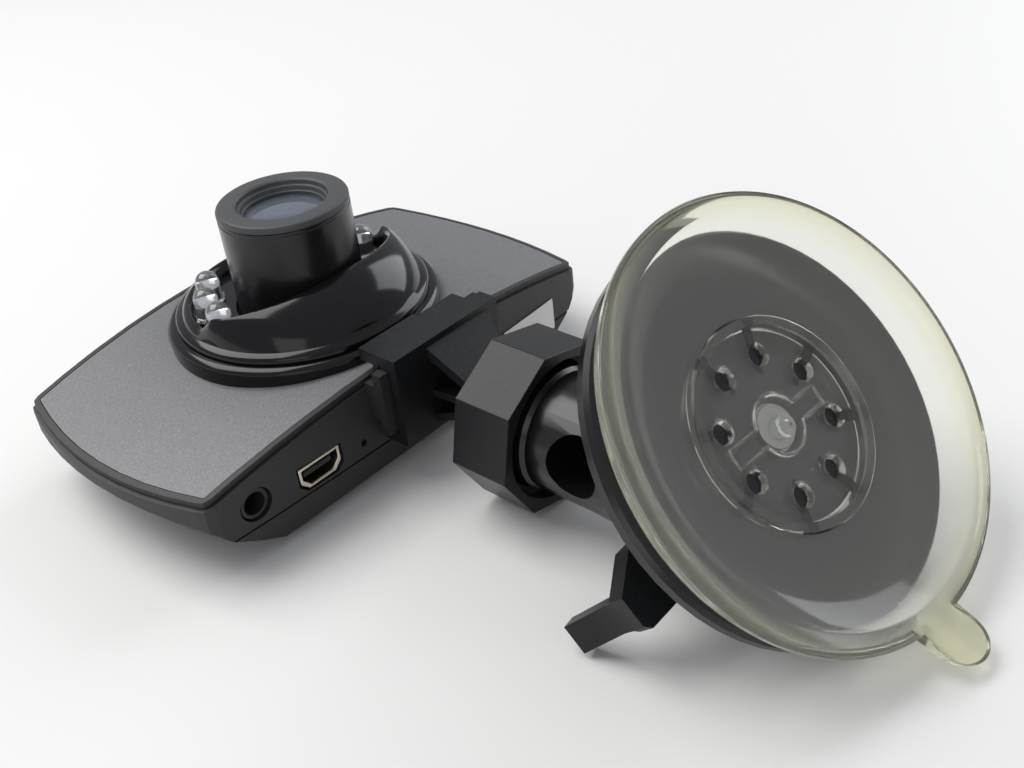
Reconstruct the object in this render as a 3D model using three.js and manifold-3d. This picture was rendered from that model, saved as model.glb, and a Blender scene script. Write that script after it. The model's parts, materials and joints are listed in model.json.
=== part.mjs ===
// Dash camera with a suction-cup windscreen mount. Millimetres, +Z up.
// The camera lies on its screen, so +Z is the way the lens looks and z = 0 is the screen face.
// X runs along the body, and -Y is the edge that carries the mount.
import * as THREE from 'three';
import { mergeVertices } from 'three/addons/utils/BufferGeometryUtils.js';
import Module from 'manifold-3d';

const wasm = await Module();
wasm.setup();

// ---------------------------------------------------------------- driving dimensions
const FIT = 0.3; // running clearance between pieces
const SNUG = 0.15; // clearance of a piece that is glued or snapped in place

// camera body
const BODY_CORNER_X = 40.2; // half length at the corners
const BODY_HALF_Y = 23.0; // half height at the ends
const BODY_END_BULGE = 3.1; // how far each end arc stands out at mid height
const BODY_SIDE_BULGE = 1.2; // the same for the two long edges
const BODY_CORNER_R = 2.0;
const WALL = 1.6;
const CORNER_Z = 14.1; // height of the front face at the corners
const FRONT_ARCH = 4.7; // how far the front face rises at mid length
const SPLIT_Z = 6.2; // parting plane of the two housings
const FLANK_TOP_Z = 10.4; // the rear flanks start here
const EDGE_CHAMFER = 1.1;
const REAR_CHAMFER = 2.6;

// front panel
const PANEL_BORDER = 1.6; // black border left round the panel
const PANEL_T = 0.9;

// lens unit
const LENS_X = -0.6; // the lens axis stands this far from the middle of the body
const LENS_Y = 0.4;
const TUBE_R = 10.3;
const TUBE_WALL = 2.8;
const LAMP_ROOM = 8.9; // between the barrel and the cowl's outer wall
const COWL_FLANGE = 1.2; // the cowl's low flange outside its wall
const RING_STEP = 1.6; // the base ring outside that flange
const RING_TOP_Z = 20.4;
const COWL_WALL_R = TUBE_R + LAMP_ROOM;
const COWL_R = COWL_WALL_R + COWL_FLANGE;
const RING_R = COWL_R + RING_STEP;
const COWL_LEDGE_Z = 21.6;
const COWL_TOP_Z = 28.6;
const COWL_FLOOR_Z = 21.0;
const COWL_RIM_Z = 23.0; // height of the low rim round the lamps
const HOOD_WALL = 1.4; // thickness of the eyebrow at its ends
const HOOD_HALF_X = COWL_WALL_R - HOOD_WALL; // half width of the eyebrow's opening
const HOOD_DEPTH = TUBE_R + 1.0; // how far the opening reaches towards -Y
const TUBE_TOP_Z = 36.6;
const LENS_TOP_Z = 37.9;
const GLASS_R = TUBE_R - TUBE_WALL - 1.5;
const REAR_LENS_R = GLASS_R - 1.4;
const LED_R = 1.95;
const LED_CIRCLE_R = COWL_WALL_R - 4.2;
const LED_ANGLES = [6, 28, 50, 130, 152, 174]; // degrees from +X

// rail and bracket
const AXIS_X = 2.3; // the mount's centre line
const AXIS_Z = 12.8;
const RAIL_Z = 15.0; // the rail and the shoe are centred above the arm
const RAIL_HALF_LENGTH = 12.5;
const RAIL_HEAD_HALF_Z = 5.2;
const RAIL_STEM_HALF_Z = 3.0;
const RAIL_HEAD_T = 1.7;
const RAIL_STEM_T = 1.6;
const SHOE_HALF_X = 10.9;
const SHOE_WALL = 2.0;
const SHOE_BACK_T = 1.5;
const SHOE_PLATE_T = 2.0;
const NECK_LENGTH = 17.2; // from the shoe's outer face to the ball's centre

// ball joint
const BALL_R = 6.0;
const STUD_R = 2.6;
const SEAT_T = 1.0;
const SOCKET_WALL = 1.7;
const NUT_WALL = 2.3; // at the middle of a flat
const NUT_PHASE = 6; // degrees from +X to the nut's first corner
const NUT_RECESS = 2.4; // depth of the wide mouth at the cup end
const NUT_LENGTH = 9.8;
const NUT_END_T = 1.9;
const SWIVEL_REST = -3.1; // degrees the ball joint is turned about the arm in this pose

// suction mount: places from the ball's centre
const CUP_X = 6.9;
const CUP_Y = -39.0;
const CUP_Z = 12.8;
const CUP_TILT = 46.5; // degrees between the cup's axis and the lens axis
const CUP_R = 29.6;
const CUP_RIM_WIDTH = 2.5;
const CUP_OVERHANG = 1.8; // of the clear rim outside the black disc
const CUP_DISC_R = CUP_R - CUP_OVERHANG;
const CUP_DISC_FRONT = 6.6; // depth of the black disc's edge behind the rim plane
const CUP_DISC_T = 2.2;
const TAB_R = 4.0;
const TAB_T = 1.1;
const TAB_OUT = 2.9; // of the tab's centre outside the rim
const TAB_LEAN = 28; // degrees out of the rim plane, clear of the table
const TAB_ANGLE = -98; // degrees from the cup's +X
const PULL_R = 14.0;
const PULL_DEPTH = 4.4;
const PULL_T = 2.4;
const PULL_LIP_WIDTH = 1.3;
const PULL_LIP_HEIGHT = 1.6;
const PULL_HOLES = 8;
const PULL_HOLE_R = 1.45;
const PULL_HOLE_CIRCLE_R = 9.3;
const PULL_HOLE_PHASE = 18;
const STEM_R = 3.0;
const PIN_R = 1.5;
const PIN_DEPTH = 16.4;
const STEM_TRAVEL = 2.0;
const HUB_R = 11.5;
const HUB_BACK = 9.4;
const CAM_R = 4.2;
const CAM_GAP = 0.6; // between the stem and the cam barrel
const CAM_LENGTH = 4.8;
const LEVER_T = 3.0;
const LEVER_REACH = 28.5;
const PADDLE_WIDTH = 8.0;
const PADDLE_TOP = 0.4;
const THUMB_DROP = 9.0; // how far the thumb tab bends back from the handle
const SLOT_GAP = 0.6; // between the lever and the slot it swings in
const SIDE_HOLE_R = 4.3;
const SIDE_HOLE_Y = -12.5; // from the ball's centre
const SIDE_HOLE_Z = 2.2;

// rear face
const WINDOW_X = 48.0;
const WINDOW_Y = 37.0;
const WINDOW_T = 0.9;
const SCREEN_FLAT_X = WINDOW_X / 2 + 1.0; // half length of the flat rear face
const KEY_R = 2.5;
const KEY_FROM_END = 9.2;
const KEY_X = BODY_CORNER_X - KEY_FROM_END;
const KEY_PITCH = 12.0;
const KEY_TRAVEL = 0.4;

// inside
const BOARD_Z = 11.4;
const BOARD_T = 1.0;
const LCD_Z = 2.4;
const LCD_T = 1.7;
const BATTERY_TOP_Z = 7.8;

// ---------------------------------------------------------------- shape helpers
const ROUND = 32; // sides of a full round piece
const rad = THREE.MathUtils.degToRad;

function move(x, y, z) {
  return new THREE.Matrix4().makeTranslation(x, y, z);
}

function solid(geometry, ...matrices) {
  const plain = geometry.index ? geometry.toNonIndexed() : geometry.clone();
  plain.deleteAttribute('normal');
  plain.deleteAttribute('uv');
  for (const matrix of matrices) {
    plain.applyMatrix4(matrix);
  }
  const merged = mergeVertices(plain, 1e-4);
  return new wasm.Manifold(new wasm.Mesh({
    numProp: 3,
    vertProperties: new Float32Array(merged.attributes.position.array),
    triVerts: new Uint32Array(merged.index.array),
  }));
}

function geometryOf(body) {
  const mesh = body.getMesh();
  const geometry = new THREE.BufferGeometry();
  geometry.setAttribute('position', new THREE.BufferAttribute(mesh.vertProperties, 3));
  geometry.setIndex(new THREE.BufferAttribute(mesh.triVerts, 1));
  geometry.computeVertexNormals();
  return geometry;
}

// a box from its lowest to its highest corner
function block(x0, x1, y0, y1, z0, z1) {
  const geometry = new THREE.BoxGeometry(x1 - x0, y1 - y0, z1 - z0);
  return solid(geometry, move((x0 + x1) / 2, (y0 + y1) / 2, (z0 + z1) / 2));
}

// a solid of revolution about Z from [radius, height] points that run round it
function turned(points, sides = ROUND, ...matrices) {
  const profile = points.map(([r, z]) => new THREE.Vector2(r, z));
  if (profile[0].x > 0 || profile[profile.length - 1].x > 0) {
    profile.push(profile[0].clone());
  }
  const area = profile.reduce((sum, p, i) => {
    const q = profile[(i + 1) % profile.length];
    return sum + p.x * q.y - q.x * p.y;
  }, 0);
  if (area < 0) {
    profile.reverse();
  }
  const upright = new THREE.Matrix4().makeRotationX(Math.PI / 2);
  return solid(new THREE.LatheGeometry(profile, sides), upright, ...matrices);
}

function pillar(radius, z0, z1, x = 0, y = 0, sides = ROUND) {
  return turned([[0, z0], [radius, z0], [radius, z1], [0, z1]], sides, move(x, y, 0));
}

// the same along Y, from y0 to y1
function rodY(radius, y0, y1, x, z, sides = ROUND) {
  return solid(new THREE.CylinderGeometry(radius, radius, y1 - y0, sides), move(x, (y0 + y1) / 2, z));
}

function rodX(radius, x0, x1, y, z, sides = ROUND) {
  const geometry = new THREE.CylinderGeometry(radius, radius, x1 - x0, sides);
  return solid(geometry, new THREE.Matrix4().makeRotationZ(Math.PI / 2), move((x0 + x1) / 2, y, z));
}

// a flat outline in XY raised from z0 to z1
function raised(shape, z0, z1) {
  const options = { depth: z1 - z0, bevelEnabled: false, curveSegments: 10 };
  const geometry = new THREE.ExtrudeGeometry(shape, options);
  return solid(geometry, move(0, 0, z0));
}

// an outline drawn in XZ and run along Y, or drawn in YZ and run along X
function alongY(shape, y0, y1) {
  const geometry = new THREE.ExtrudeGeometry(shape, { depth: y1 - y0, bevelEnabled: false });
  return solid(geometry, new THREE.Matrix4().makeRotationX(Math.PI / 2), move(0, y1, 0));
}

function alongX(shape, x0, x1) {
  const geometry = new THREE.ExtrudeGeometry(shape, { depth: x1 - x0, bevelEnabled: false });
  const turn = new THREE.Matrix4().makeBasis(
    new THREE.Vector3(0, 1, 0),
    new THREE.Vector3(0, 0, 1),
    new THREE.Vector3(1, 0, 0),
  );
  return solid(geometry, turn, move(x0, 0, 0));
}

function outline(points) {
  return new THREE.Shape(points.map(([x, y]) => new THREE.Vector2(x, y)));
}

function polar(radius, degrees) {
  return [radius * Math.cos(rad(degrees)), radius * Math.sin(rad(degrees))];
}

function sum(bodies) {
  return bodies.reduce((all, body) => all.add(body));
}

// ---------------------------------------------------------------- shared places
// Near edge of the body at mid length, where the rail stands.
const SIDE_Y = -(BODY_HALF_Y + BODY_SIDE_BULGE);
const NEAR_WALL_Y = SIDE_Y + WALL;
const railHeadY = SIDE_Y - RAIL_STEM_T - RAIL_HEAD_T;
const shoeBackY = railHeadY - FIT - SHOE_BACK_T;
const ballY = shoeBackY - NECK_LENGTH;

// ---------------------------------------------------------------- scene tree and finishes
const dashCamera = new THREE.Group();
const jointGroup = new THREE.Group(); // everything beyond the ball's centre
const cupGroup = new THREE.Group(); // origin on the cup's rim plane, +Z out of the cup
jointGroup.position.set(AXIS_X, ballY, AXIS_Z);
jointGroup.rotation.y = rad(SWIVEL_REST);
cupGroup.position.set(CUP_X, CUP_Y, CUP_Z);
cupGroup.rotation.x = rad(CUP_TILT);
jointGroup.add(cupGroup);
dashCamera.add(jointGroup);
cupGroup.updateMatrix();
const fromCup = cupGroup.matrix.clone();

function finish(color, roughness, metalness = 0) {
  return new THREE.MeshStandardMaterial({ color, roughness, metalness });
}

const FINISH = {
  body: finish(0x27292b, 0.55),
  panel: finish(0x8d8f93, 0.42, 0.6),
  gloss: finish(0x0b0b0d, 0.12),
  matte: finish(0x1d1e20, 0.6),
  glass: finish(0x1a2030, 0.05),
  clear: finish(0xd9dcc0, 0.15),
  lamp: finish(0xf0f2f5, 0.08),
  board: finish(0x1f4a35, 0.6),
  metal: finish(0xb9b3a2, 0.35, 0.9),
  steel: finish(0x9a9da0, 0.35, 0.9),
  chip: finish(0x17181a, 0.5),
  foil: finish(0xa7a9ac, 0.4, 0.5),
  paper: finish(0xf0efea, 0.8),
};

function add(group, name, body, material) {
  const mesh = new THREE.Mesh(geometryOf(body), material);
  mesh.name = name;
  group.add(mesh);
}

// ---------------------------------------------------------------- body outline and envelope
// The arc through (-half, y), (0, y + bulge) and (half, y) has this radius.
function arcRadius(half, bulge) {
  return (half * half + bulge * bulge) / (2 * bulge);
}

// Plan of the body, moved in by inset: bowed ends, slightly bowed long edges, small round corners.
function bodyPlan(inset) {
  const halfX = BODY_CORNER_X - inset;
  const halfY = BODY_HALF_Y - inset;
  const round = Math.max(BODY_CORNER_R - inset, 0.4);
  const points = [];
  const side = 8;
  for (let i = 0; i <= side; i += 1) {
    const t = -1 + (2 * i) / side;
    points.push([t * (halfX - round), -halfY - BODY_SIDE_BULGE * (1 - t * t)]);
  }
  points.push([halfX - 0.3 * round, -halfY + 0.3 * round]);
  for (let i = 0; i <= side; i += 1) {
    const t = -1 + (2 * i) / side;
    points.push([halfX + BODY_END_BULGE * (1 - t * t), t * (halfY - round)]);
  }
  points.push([halfX - 0.3 * round, halfY - 0.3 * round]);
  for (let i = 0; i <= side; i += 1) {
    const t = 1 - (2 * i) / side;
    points.push([t * (halfX - round), halfY + BODY_SIDE_BULGE * (1 - t * t)]);
  }
  points.push([-halfX + 0.3 * round, halfY - 0.3 * round]);
  for (let i = 0; i <= side; i += 1) {
    const t = 1 - (2 * i) / side;
    points.push([-halfX - BODY_END_BULGE * (1 - t * t), t * (halfY - round)]);
  }
  points.push([-halfX + 0.3 * round, -halfY + 0.3 * round]);
  return outline(points);
}

// Height of the arched front face at x.
function frontZ(x) {
  return CORNER_Z + FRONT_ARCH * (1 - (x / BODY_CORNER_X) ** 2);
}

// The space under the front face, lowered by drop.
function underArch(drop, base = -5) {
  const points = [[-60, base], [60, base]];
  const steps = 18;
  for (let i = 0; i <= steps; i += 1) {
    const x = 60 - (120 * i) / steps;
    points.push([x, frontZ(x) - drop]);
  }
  return alongY(outline(points), -60, 60);
}

// The rear flank runs round each end as a part of a large turned dish, so both ends get the same undercut.
function endDish(side, inset) {
  const radius = arcRadius(BODY_HALF_Y, BODY_END_BULGE);
  const centreX = side * (BODY_CORNER_X + BODY_END_BULGE - radius);
  const rise = FLANK_TOP_Z - inset;
  const reach = BODY_CORNER_X + BODY_END_BULGE - SCREEN_FLAT_X;
  const flank = [[1.0, 1.0], [0.83, 0.6], [0.62, 0.36], [0.36, 0.12], [0, 0]];
  const points = [[0, inset - 0.001]];
  for (const [out, up] of [...flank].reverse()) {
    points.push([radius - inset - reach * (1 - out), inset + rise * up]);
  }
  points.push([radius - inset, 40], [0, 40]);
  return turned(points, 96, move(centreX, 0, 0));
}

// Section across the body: chamfers along the four long edges.
function crossSection(inset) {
  const halfY = BODY_HALF_Y + BODY_SIDE_BULGE - inset;
  const low = REAR_CHAMFER;
  const shape = outline([
    [-halfY + low, inset], [halfY - low, inset], [halfY, inset + low],
    [halfY, 30], [-halfY, 30], [-halfY, inset + low],
  ]);
  return alongX(shape, -60, 60);
}

function envelope(inset, drop) {
  return raised(bodyPlan(inset), inset, 30)
    .intersect(underArch(drop))
    .intersect(endDish(1, inset))
    .intersect(endDish(-1, inset))
    .intersect(crossSection(inset));
}

// ---------------------------------------------------------------- ports in the mount-side wall
const USB = { x: -20.8, z: 9.0, width: 7.7, height: 3.9, depth: 7.5, wall: 0.5 };
const JACK = { x: 8.0 - BODY_CORNER_X, z: 9.9, bore: 1.8, face: 2.35, width: 5.0, height: 6.4, depth: 5.5 };
const MIC_HOLE = { x: -12.6, z: 8.6, r: 0.6 };
const CARD = { x: 0, z: 9.4, width: 12.2, height: 1.6, depth: 14 };

function usbOutline(grow) {
  const w = USB.width / 2 + grow;
  const h = USB.height / 2 + grow;
  const cut = 1.3;
  return outline([
    [USB.x - w + cut, USB.z - h], [USB.x + w - cut, USB.z - h], [USB.x + w, USB.z - h + cut],
    [USB.x + w, USB.z + h], [USB.x - w, USB.z + h], [USB.x - w, USB.z - h + cut],
  ]);
}

// ---------------------------------------------------------------- housings, panel and label
const SCREW_X = BODY_CORNER_X - 12.6;
const SCREW_Y = BODY_HALF_Y - 4.5;
const SCREW_PLACES = [[-SCREW_X, -SCREW_Y], [SCREW_X, -SCREW_Y], [-SCREW_X, SCREW_Y], [SCREW_X, SCREW_Y]];
const SCREW_R = 0.8;
const SCREW_HEAD_R = 1.5;
const POST_R = 2.0;
const SCREW_HEAD_Z = 3.9;
const keyPlaces = [-1, 1].flatMap((side) => [-1, 0, 1].map((row) => [side * KEY_X, row * KEY_PITCH]));

function railOn() {
  const x0 = AXIS_X - RAIL_HALF_LENGTH;
  const x1 = AXIS_X + RAIL_HALF_LENGTH;
  const stemY = SIDE_Y - RAIL_STEM_T;
  const rootY = SIDE_Y + PANEL_BORDER - FIT;
  const stem = block(x0, x1, stemY - 0.2, rootY, RAIL_Z - RAIL_STEM_HALF_Z, RAIL_Z + RAIL_STEM_HALF_Z);
  const head = block(x0, x1, railHeadY, stemY, RAIL_Z - RAIL_HEAD_HALF_Z, RAIL_Z + RAIL_HEAD_HALF_Z);
  return stem.add(head);
}

const shell = envelope(0, PANEL_T + SNUG).subtract(envelope(WALL, PANEL_T + SNUG + WALL));

function frontHousing() {
  const rim = envelope(0, 0).subtract(raised(bodyPlan(PANEL_BORDER - SNUG), -1, 40))
    .intersect(block(-60, 60, -60, 60, 12, 40));
  const bevel = raised(bodyPlan(EDGE_CHAMFER * 0.5), -1, 40).add(underArch(EDGE_CHAMFER));
  const upper = shell.add(rim).intersect(bevel).intersect(block(-60, 60, -60, 60, SPLIT_Z + FIT / 2, 40));
  const postTop = frontZ(SCREW_X) - PANEL_T - 1;
  const posts = sum(SCREW_PLACES.map(([x, y]) => pillar(POST_R, SPLIT_Z + FIT / 2, postTop, x, y, 12)
    .subtract(pillar(SCREW_R + 0.1, SPLIT_Z - 1, 10.4, x, y, 8))));
  const holes = sum([
    pillar(TUBE_R + FIT, 0, 40, LENS_X, LENS_Y),
    alongY(usbOutline(FIT), -40, NEAR_WALL_Y + 2.0),
    rodY(JACK.face + FIT, -40, NEAR_WALL_Y + 2.0, JACK.x, JACK.z, 24),
    rodY(MIC_HOLE.r, -40, NEAR_WALL_Y + 2.0, MIC_HOLE.x, MIC_HOLE.z, 12),
    block(
      CARD.x - CARD.width / 2, CARD.x + CARD.width / 2, 15, 40,
      CARD.z - CARD.height / 2, CARD.z + CARD.height / 2,
    ),
  ]);
  return upper.add(posts).add(railOn()).subtract(holes);
}

function rearHousing() {
  const lower = shell.intersect(block(-60, 60, -60, 60, -1, SPLIT_Z - FIT / 2));
  const posts = sum(SCREW_PLACES.map(([x, y]) => pillar(POST_R, 0, SPLIT_Z - FIT / 2, x, y, 12)))
    .intersect(envelope(0, 0));
  const cuts = sum([
    block(-WINDOW_X / 2 - SNUG, WINDOW_X / 2 + SNUG, -WINDOW_Y / 2 - SNUG, WINDOW_Y / 2 + SNUG, -1, WALL + 1),
    ...keyPlaces.map(([x, y]) => pillar(KEY_R + FIT, -1, WALL + 8, x, y, 20)),
    ...SCREW_PLACES.map(([x, y]) => pillar(SCREW_R + 0.2, -1, 10, x, y, 8)),
    ...SCREW_PLACES.map(([x, y]) => pillar(SCREW_HEAD_R + 0.2, -1, SCREW_HEAD_Z, x, y, 12)),
  ]);
  return lower.add(posts).subtract(cuts);
}

function frontPanel() {
  return raised(bodyPlan(PANEL_BORDER), 5, 40)
    .intersect(underArch(0.05))
    .subtract(underArch(PANEL_T))
    .subtract(pillar(TUBE_R + FIT, 0, 40, LENS_X, LENS_Y));
}

function labelSticker() {
  return raised(bodyPlan(-0.25), 5.2, 10.9)
    .subtract(raised(bodyPlan(-0.1), 0, 30))
    .intersect(block(19.4, 32.4, -40, -10, 5.2, 10.9));
}

add(dashCamera, 'front_housing', frontHousing(), FINISH.body);
add(dashCamera, 'rear_housing', rearHousing(), FINISH.body);
add(dashCamera, 'front_panel', frontPanel(), FINISH.panel);
add(dashCamera, 'label_sticker', labelSticker(), FINISH.paper);
SCREW_PLACES.forEach(([x, y], i) => {
  const screw = pillar(SCREW_R, SCREW_HEAD_Z - 1, 10.1, x, y, 8)
    .add(pillar(SCREW_HEAD_R, SCREW_HEAD_Z - 1.5, SCREW_HEAD_Z - SNUG, x, y, 12))
    .subtract(block(x - 0.9, x + 0.9, y - 0.22, y + 0.22, 0, SCREW_HEAD_Z - 0.8))
    .subtract(block(x - 0.22, x + 0.22, y - 0.9, y + 0.9, 0, SCREW_HEAD_Z - 0.8));
  add(dashCamera, `housing_screw_${i + 1}`, screw, FINISH.steel);
});

// ---------------------------------------------------------------- lens unit
const lensPlace = move(LENS_X, LENS_Y, 0);

function aboveArch(body) {
  return body.subtract(underArch(-0.1));
}

function baseRing() {
  const inner = COWL_WALL_R + FIT;
  return aboveArch(turned([
    [inner, 14], [RING_R, 14], [RING_R, RING_TOP_Z - 0.8], [RING_R - 0.7, RING_TOP_Z], [inner, RING_TOP_Z],
  ], 48, lensPlace));
}

// A turned dome, opened by an oval so that a tall eyebrow is left on the mount side
// and a low rim round the lamps everywhere else.
function cowl() {
  const dome = turned([
    [TUBE_R + FIT, 14], [COWL_WALL_R, 14], [COWL_WALL_R, RING_TOP_Z + FIT], [COWL_R, RING_TOP_Z + FIT],
    [COWL_R, COWL_LEDGE_Z - 0.4], [COWL_R - 0.5, COWL_LEDGE_Z], [COWL_WALL_R, COWL_LEDGE_Z + 0.2],
    [COWL_WALL_R - 0.3, COWL_TOP_Z - 4.4], [COWL_WALL_R - 1.4, COWL_TOP_Z - 2.4],
    [COWL_WALL_R - 4.0, COWL_TOP_Z - 0.9], [COWL_WALL_R - 7.4, COWL_TOP_Z], [TUBE_R + FIT, COWL_TOP_Z],
  ], 48, lensPlace);
  const oval = [];
  const steps = 16;
  for (let i = 0; i <= steps; i += 1) {
    const t = Math.PI + (Math.PI * i) / steps;
    oval.push([LENS_X + HOOD_HALF_X * Math.cos(t), LENS_Y + HOOD_DEPTH * Math.sin(t) - 1.5]);
  }
  oval.push([LENS_X + HOOD_HALF_X, 30], [LENS_X - HOOD_HALF_X, 30]);
  const inside = pillar(COWL_WALL_R - HOOD_WALL, 0, 60, LENS_X, LENS_Y);
  const well = raised(outline(oval), COWL_FLOOR_Z, 60).intersect(inside);
  const lowered = block(-40, 40, -2.5, 40, COWL_RIM_Z, 60);
  return aboveArch(dome).subtract(well).subtract(lowered);
}

function lampBody(x, y) {
  const steps = 4;
  const base = COWL_FLOOR_Z + SNUG;
  const points = [[0, base], [LED_R + 0.25, base], [LED_R + 0.25, base + 0.7], [LED_R, base + 0.7]];
  for (let i = 0; i <= steps; i += 1) {
    const t = (Math.PI / 2) * (i / steps);
    points.push([LED_R * Math.cos(t), base + 3.2 + LED_R * Math.sin(t)]);
  }
  return turned(points, 12, move(x, y, 0));
}

const tubeInner = TUBE_R - TUBE_WALL;
add(dashCamera, 'lens_base_ring', baseRing(), FINISH.gloss);
add(dashCamera, 'lens_cowl', cowl(), FINISH.gloss);
add(dashCamera, 'lens_tube', turned([
  [tubeInner, 15.2], [TUBE_R, 15.2], [TUBE_R, TUBE_TOP_Z], [tubeInner, TUBE_TOP_Z],
], ROUND, lensPlace), FINISH.gloss);
add(dashCamera, 'lens_front_ring', turned([
  [GLASS_R + 0.4, TUBE_TOP_Z + 0.05], [TUBE_R, TUBE_TOP_Z + 0.05], [TUBE_R, LENS_TOP_Z - 0.5],
  [TUBE_R - 0.5, LENS_TOP_Z], [GLASS_R + 1.2, LENS_TOP_Z],
], ROUND, lensPlace), FINISH.matte);
add(dashCamera, 'front_glass', turned([
  [0, TUBE_TOP_Z - 1.9], [GLASS_R + 0.6, TUBE_TOP_Z - 1.9], [GLASS_R + 0.6, TUBE_TOP_Z - 0.9],
  [GLASS_R * 0.7, TUBE_TOP_Z - 0.4], [0, TUBE_TOP_Z - 0.1],
], ROUND, lensPlace), FINISH.glass);
add(dashCamera, 'lens_cell', turned([
  [REAR_LENS_R, 18], [tubeInner - SNUG, 18], [tubeInner - SNUG, TUBE_TOP_Z - 2.1], [REAR_LENS_R + 1, TUBE_TOP_Z - 2.1],
  [REAR_LENS_R + 1, 30], [REAR_LENS_R, 28],
], ROUND, lensPlace), FINISH.matte);
add(dashCamera, 'rear_lens', turned([
  [0, 24.0], [REAR_LENS_R - SNUG, 24.2], [REAR_LENS_R - SNUG, 25.4], [REAR_LENS_R / 2, 26.5], [0, 26.9],
], 24, lensPlace), FINISH.glass);
const boardTop = BOARD_Z + BOARD_T;
add(dashCamera, 'lens_holder', pillar(tubeInner, boardTop + 2.2, 17.8, LENS_X, LENS_Y)
  .add(block(LENS_X - 8, LENS_X + 8, LENS_Y - 8, LENS_Y + 8, boardTop + SNUG, boardTop + 2.2))
  .subtract(pillar(REAR_LENS_R, 0, 40, LENS_X, LENS_Y)), FINISH.matte);
add(dashCamera, 'image_sensor', block(
  LENS_X - 3, LENS_X + 3, LENS_Y - 2.6, LENS_Y + 2.6, boardTop + SNUG, boardTop + 1.2,
), FINISH.chip);
LED_ANGLES.forEach((angle, i) => {
  const [x, y] = polar(LED_CIRCLE_R, angle);
  add(dashCamera, `ir_led_${i + 1}`, lampBody(LENS_X + x, LENS_Y + y), FINISH.lamp);
});

// ---------------------------------------------------------------- rear face and insides
add(dashCamera, 'lcd_window', block(
  -WINDOW_X / 2, WINDOW_X / 2, -WINDOW_Y / 2, WINDOW_Y / 2, 0, WINDOW_T,
), FINISH.glass);
add(dashCamera, 'lcd_panel', block(
  -WINDOW_X / 2 - 0.8, WINDOW_X / 2 + 0.8, -WINDOW_Y / 2 - 1.2, WINDOW_Y / 2 + 1.2, LCD_Z, LCD_Z + LCD_T,
), FINISH.foil);
add(dashCamera, 'battery', block(-20, 13, -14, 14, LCD_Z + LCD_T + FIT, BATTERY_TOP_Z), FINISH.foil);
keyPlaces.forEach(([x, y], i) => {
  const key = pillar(KEY_R, 1.0, 5.4, x, y, 20).intersect(envelope(-0.5, 0));
  add(dashCamera, `key_${i + 1}`, key, FINISH.matte);
});
[-1, 1].forEach((side) => {
  const low = 5.4 + KEY_TRAVEL + FIT;
  const halfY = KEY_PITCH + 3;
  const plate = block(side * KEY_X - 2.6, side * KEY_X + 2.6, -halfY, halfY, low + 0.3, low + 1.1);
  const domes = sum([-1, 0, 1].map((row) => pillar(1.6, low, low + 0.4, side * KEY_X, row * KEY_PITCH, 12)));
  add(dashCamera, side < 0 ? 'key_board_left' : 'key_board_right', plate.add(domes), FINISH.board);
});

function mainBoard() {
  const halfY = BODY_HALF_Y - 2.5;
  const plate = block(-SCREW_X, BODY_CORNER_X - 6.7, -halfY, halfY, BOARD_Z, boardTop);
  const clear = SCREW_PLACES.map(([x, y]) => pillar(POST_R + FIT, 0, 30, x, y, 12));
  return plate.subtract(sum(clear)).intersect(envelope(WALL + FIT, PANEL_T + SNUG + WALL + FIT));
}

add(dashCamera, 'main_board', mainBoard(), FINISH.board);
add(dashCamera, 'processor', block(-2, 9, -6, 5, BOARD_Z - 1.2, BOARD_Z - SNUG), FINISH.chip);
add(dashCamera, 'flash_memory', block(-20, -12, 4, 12, BOARD_Z - 1.0, BOARD_Z - SNUG), FINISH.chip);
add(dashCamera, 'speaker', pillar(6.5, BOARD_Z - 3.4, BOARD_Z - SNUG, 21.4, 10.8, 20), FINISH.chip);
add(dashCamera, 'microphone', pillar(
  1.8, BOARD_Z - 1.6, BOARD_Z - SNUG, MIC_HOLE.x, NEAR_WALL_Y + 4, 16,
), FINISH.metal);

const usbFrontY = SIDE_Y + 0.5;
const usbShell = alongY(usbOutline(0), usbFrontY, usbFrontY + USB.depth)
  .subtract(alongY(usbOutline(-USB.wall), usbFrontY - 1, usbFrontY + USB.depth - USB.wall));
add(dashCamera, 'usb_shell', usbShell, FINISH.metal);
add(dashCamera, 'usb_tongue', block(
  USB.x - 2.6, USB.x + 2.6, usbFrontY + 0.8, usbFrontY + USB.depth - 0.7, USB.z - 0.35, USB.z + 0.45,
), FINISH.chip);
const jackFrontY = -(BODY_HALF_Y - 0.1);
const jack = block(
  JACK.x - JACK.width / 2, JACK.x + JACK.width / 2, NEAR_WALL_Y + 1.6, NEAR_WALL_Y + 1.6 + JACK.depth,
  JACK.z - JACK.height / 2 + 0.3, JACK.z + JACK.height / 2 - 0.9,
).add(rodY(JACK.face, jackFrontY, NEAR_WALL_Y + 1.8, JACK.x, JACK.z, 24))
  .subtract(rodY(JACK.bore, -40, NEAR_WALL_Y + 8, JACK.x, JACK.z, 20));
add(dashCamera, 'av_jack', jack, FINISH.chip);
const cardY = BODY_HALF_Y + BODY_SIDE_BULGE - WALL - FIT;
add(dashCamera, 'card_socket', block(
  CARD.x - CARD.width / 2 - 0.8, CARD.x + CARD.width / 2 + 0.8, cardY - CARD.depth, cardY,
  CARD.z - CARD.height / 2 - 0.5, CARD.z + CARD.height / 2 + 0.5,
).subtract(block(
  CARD.x - CARD.width / 2, CARD.x + CARD.width / 2, cardY - CARD.depth + 1, cardY + 1,
  CARD.z - CARD.height / 2, CARD.z + CARD.height / 2,
)), FINISH.metal);

// ---------------------------------------------------------------- slide bracket and ball
const NUT_REAR = BALL_R - 0.1; // the nut's bracket-side face, from the ball's centre
const nutRearY = ballY + NUT_REAR;

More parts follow.
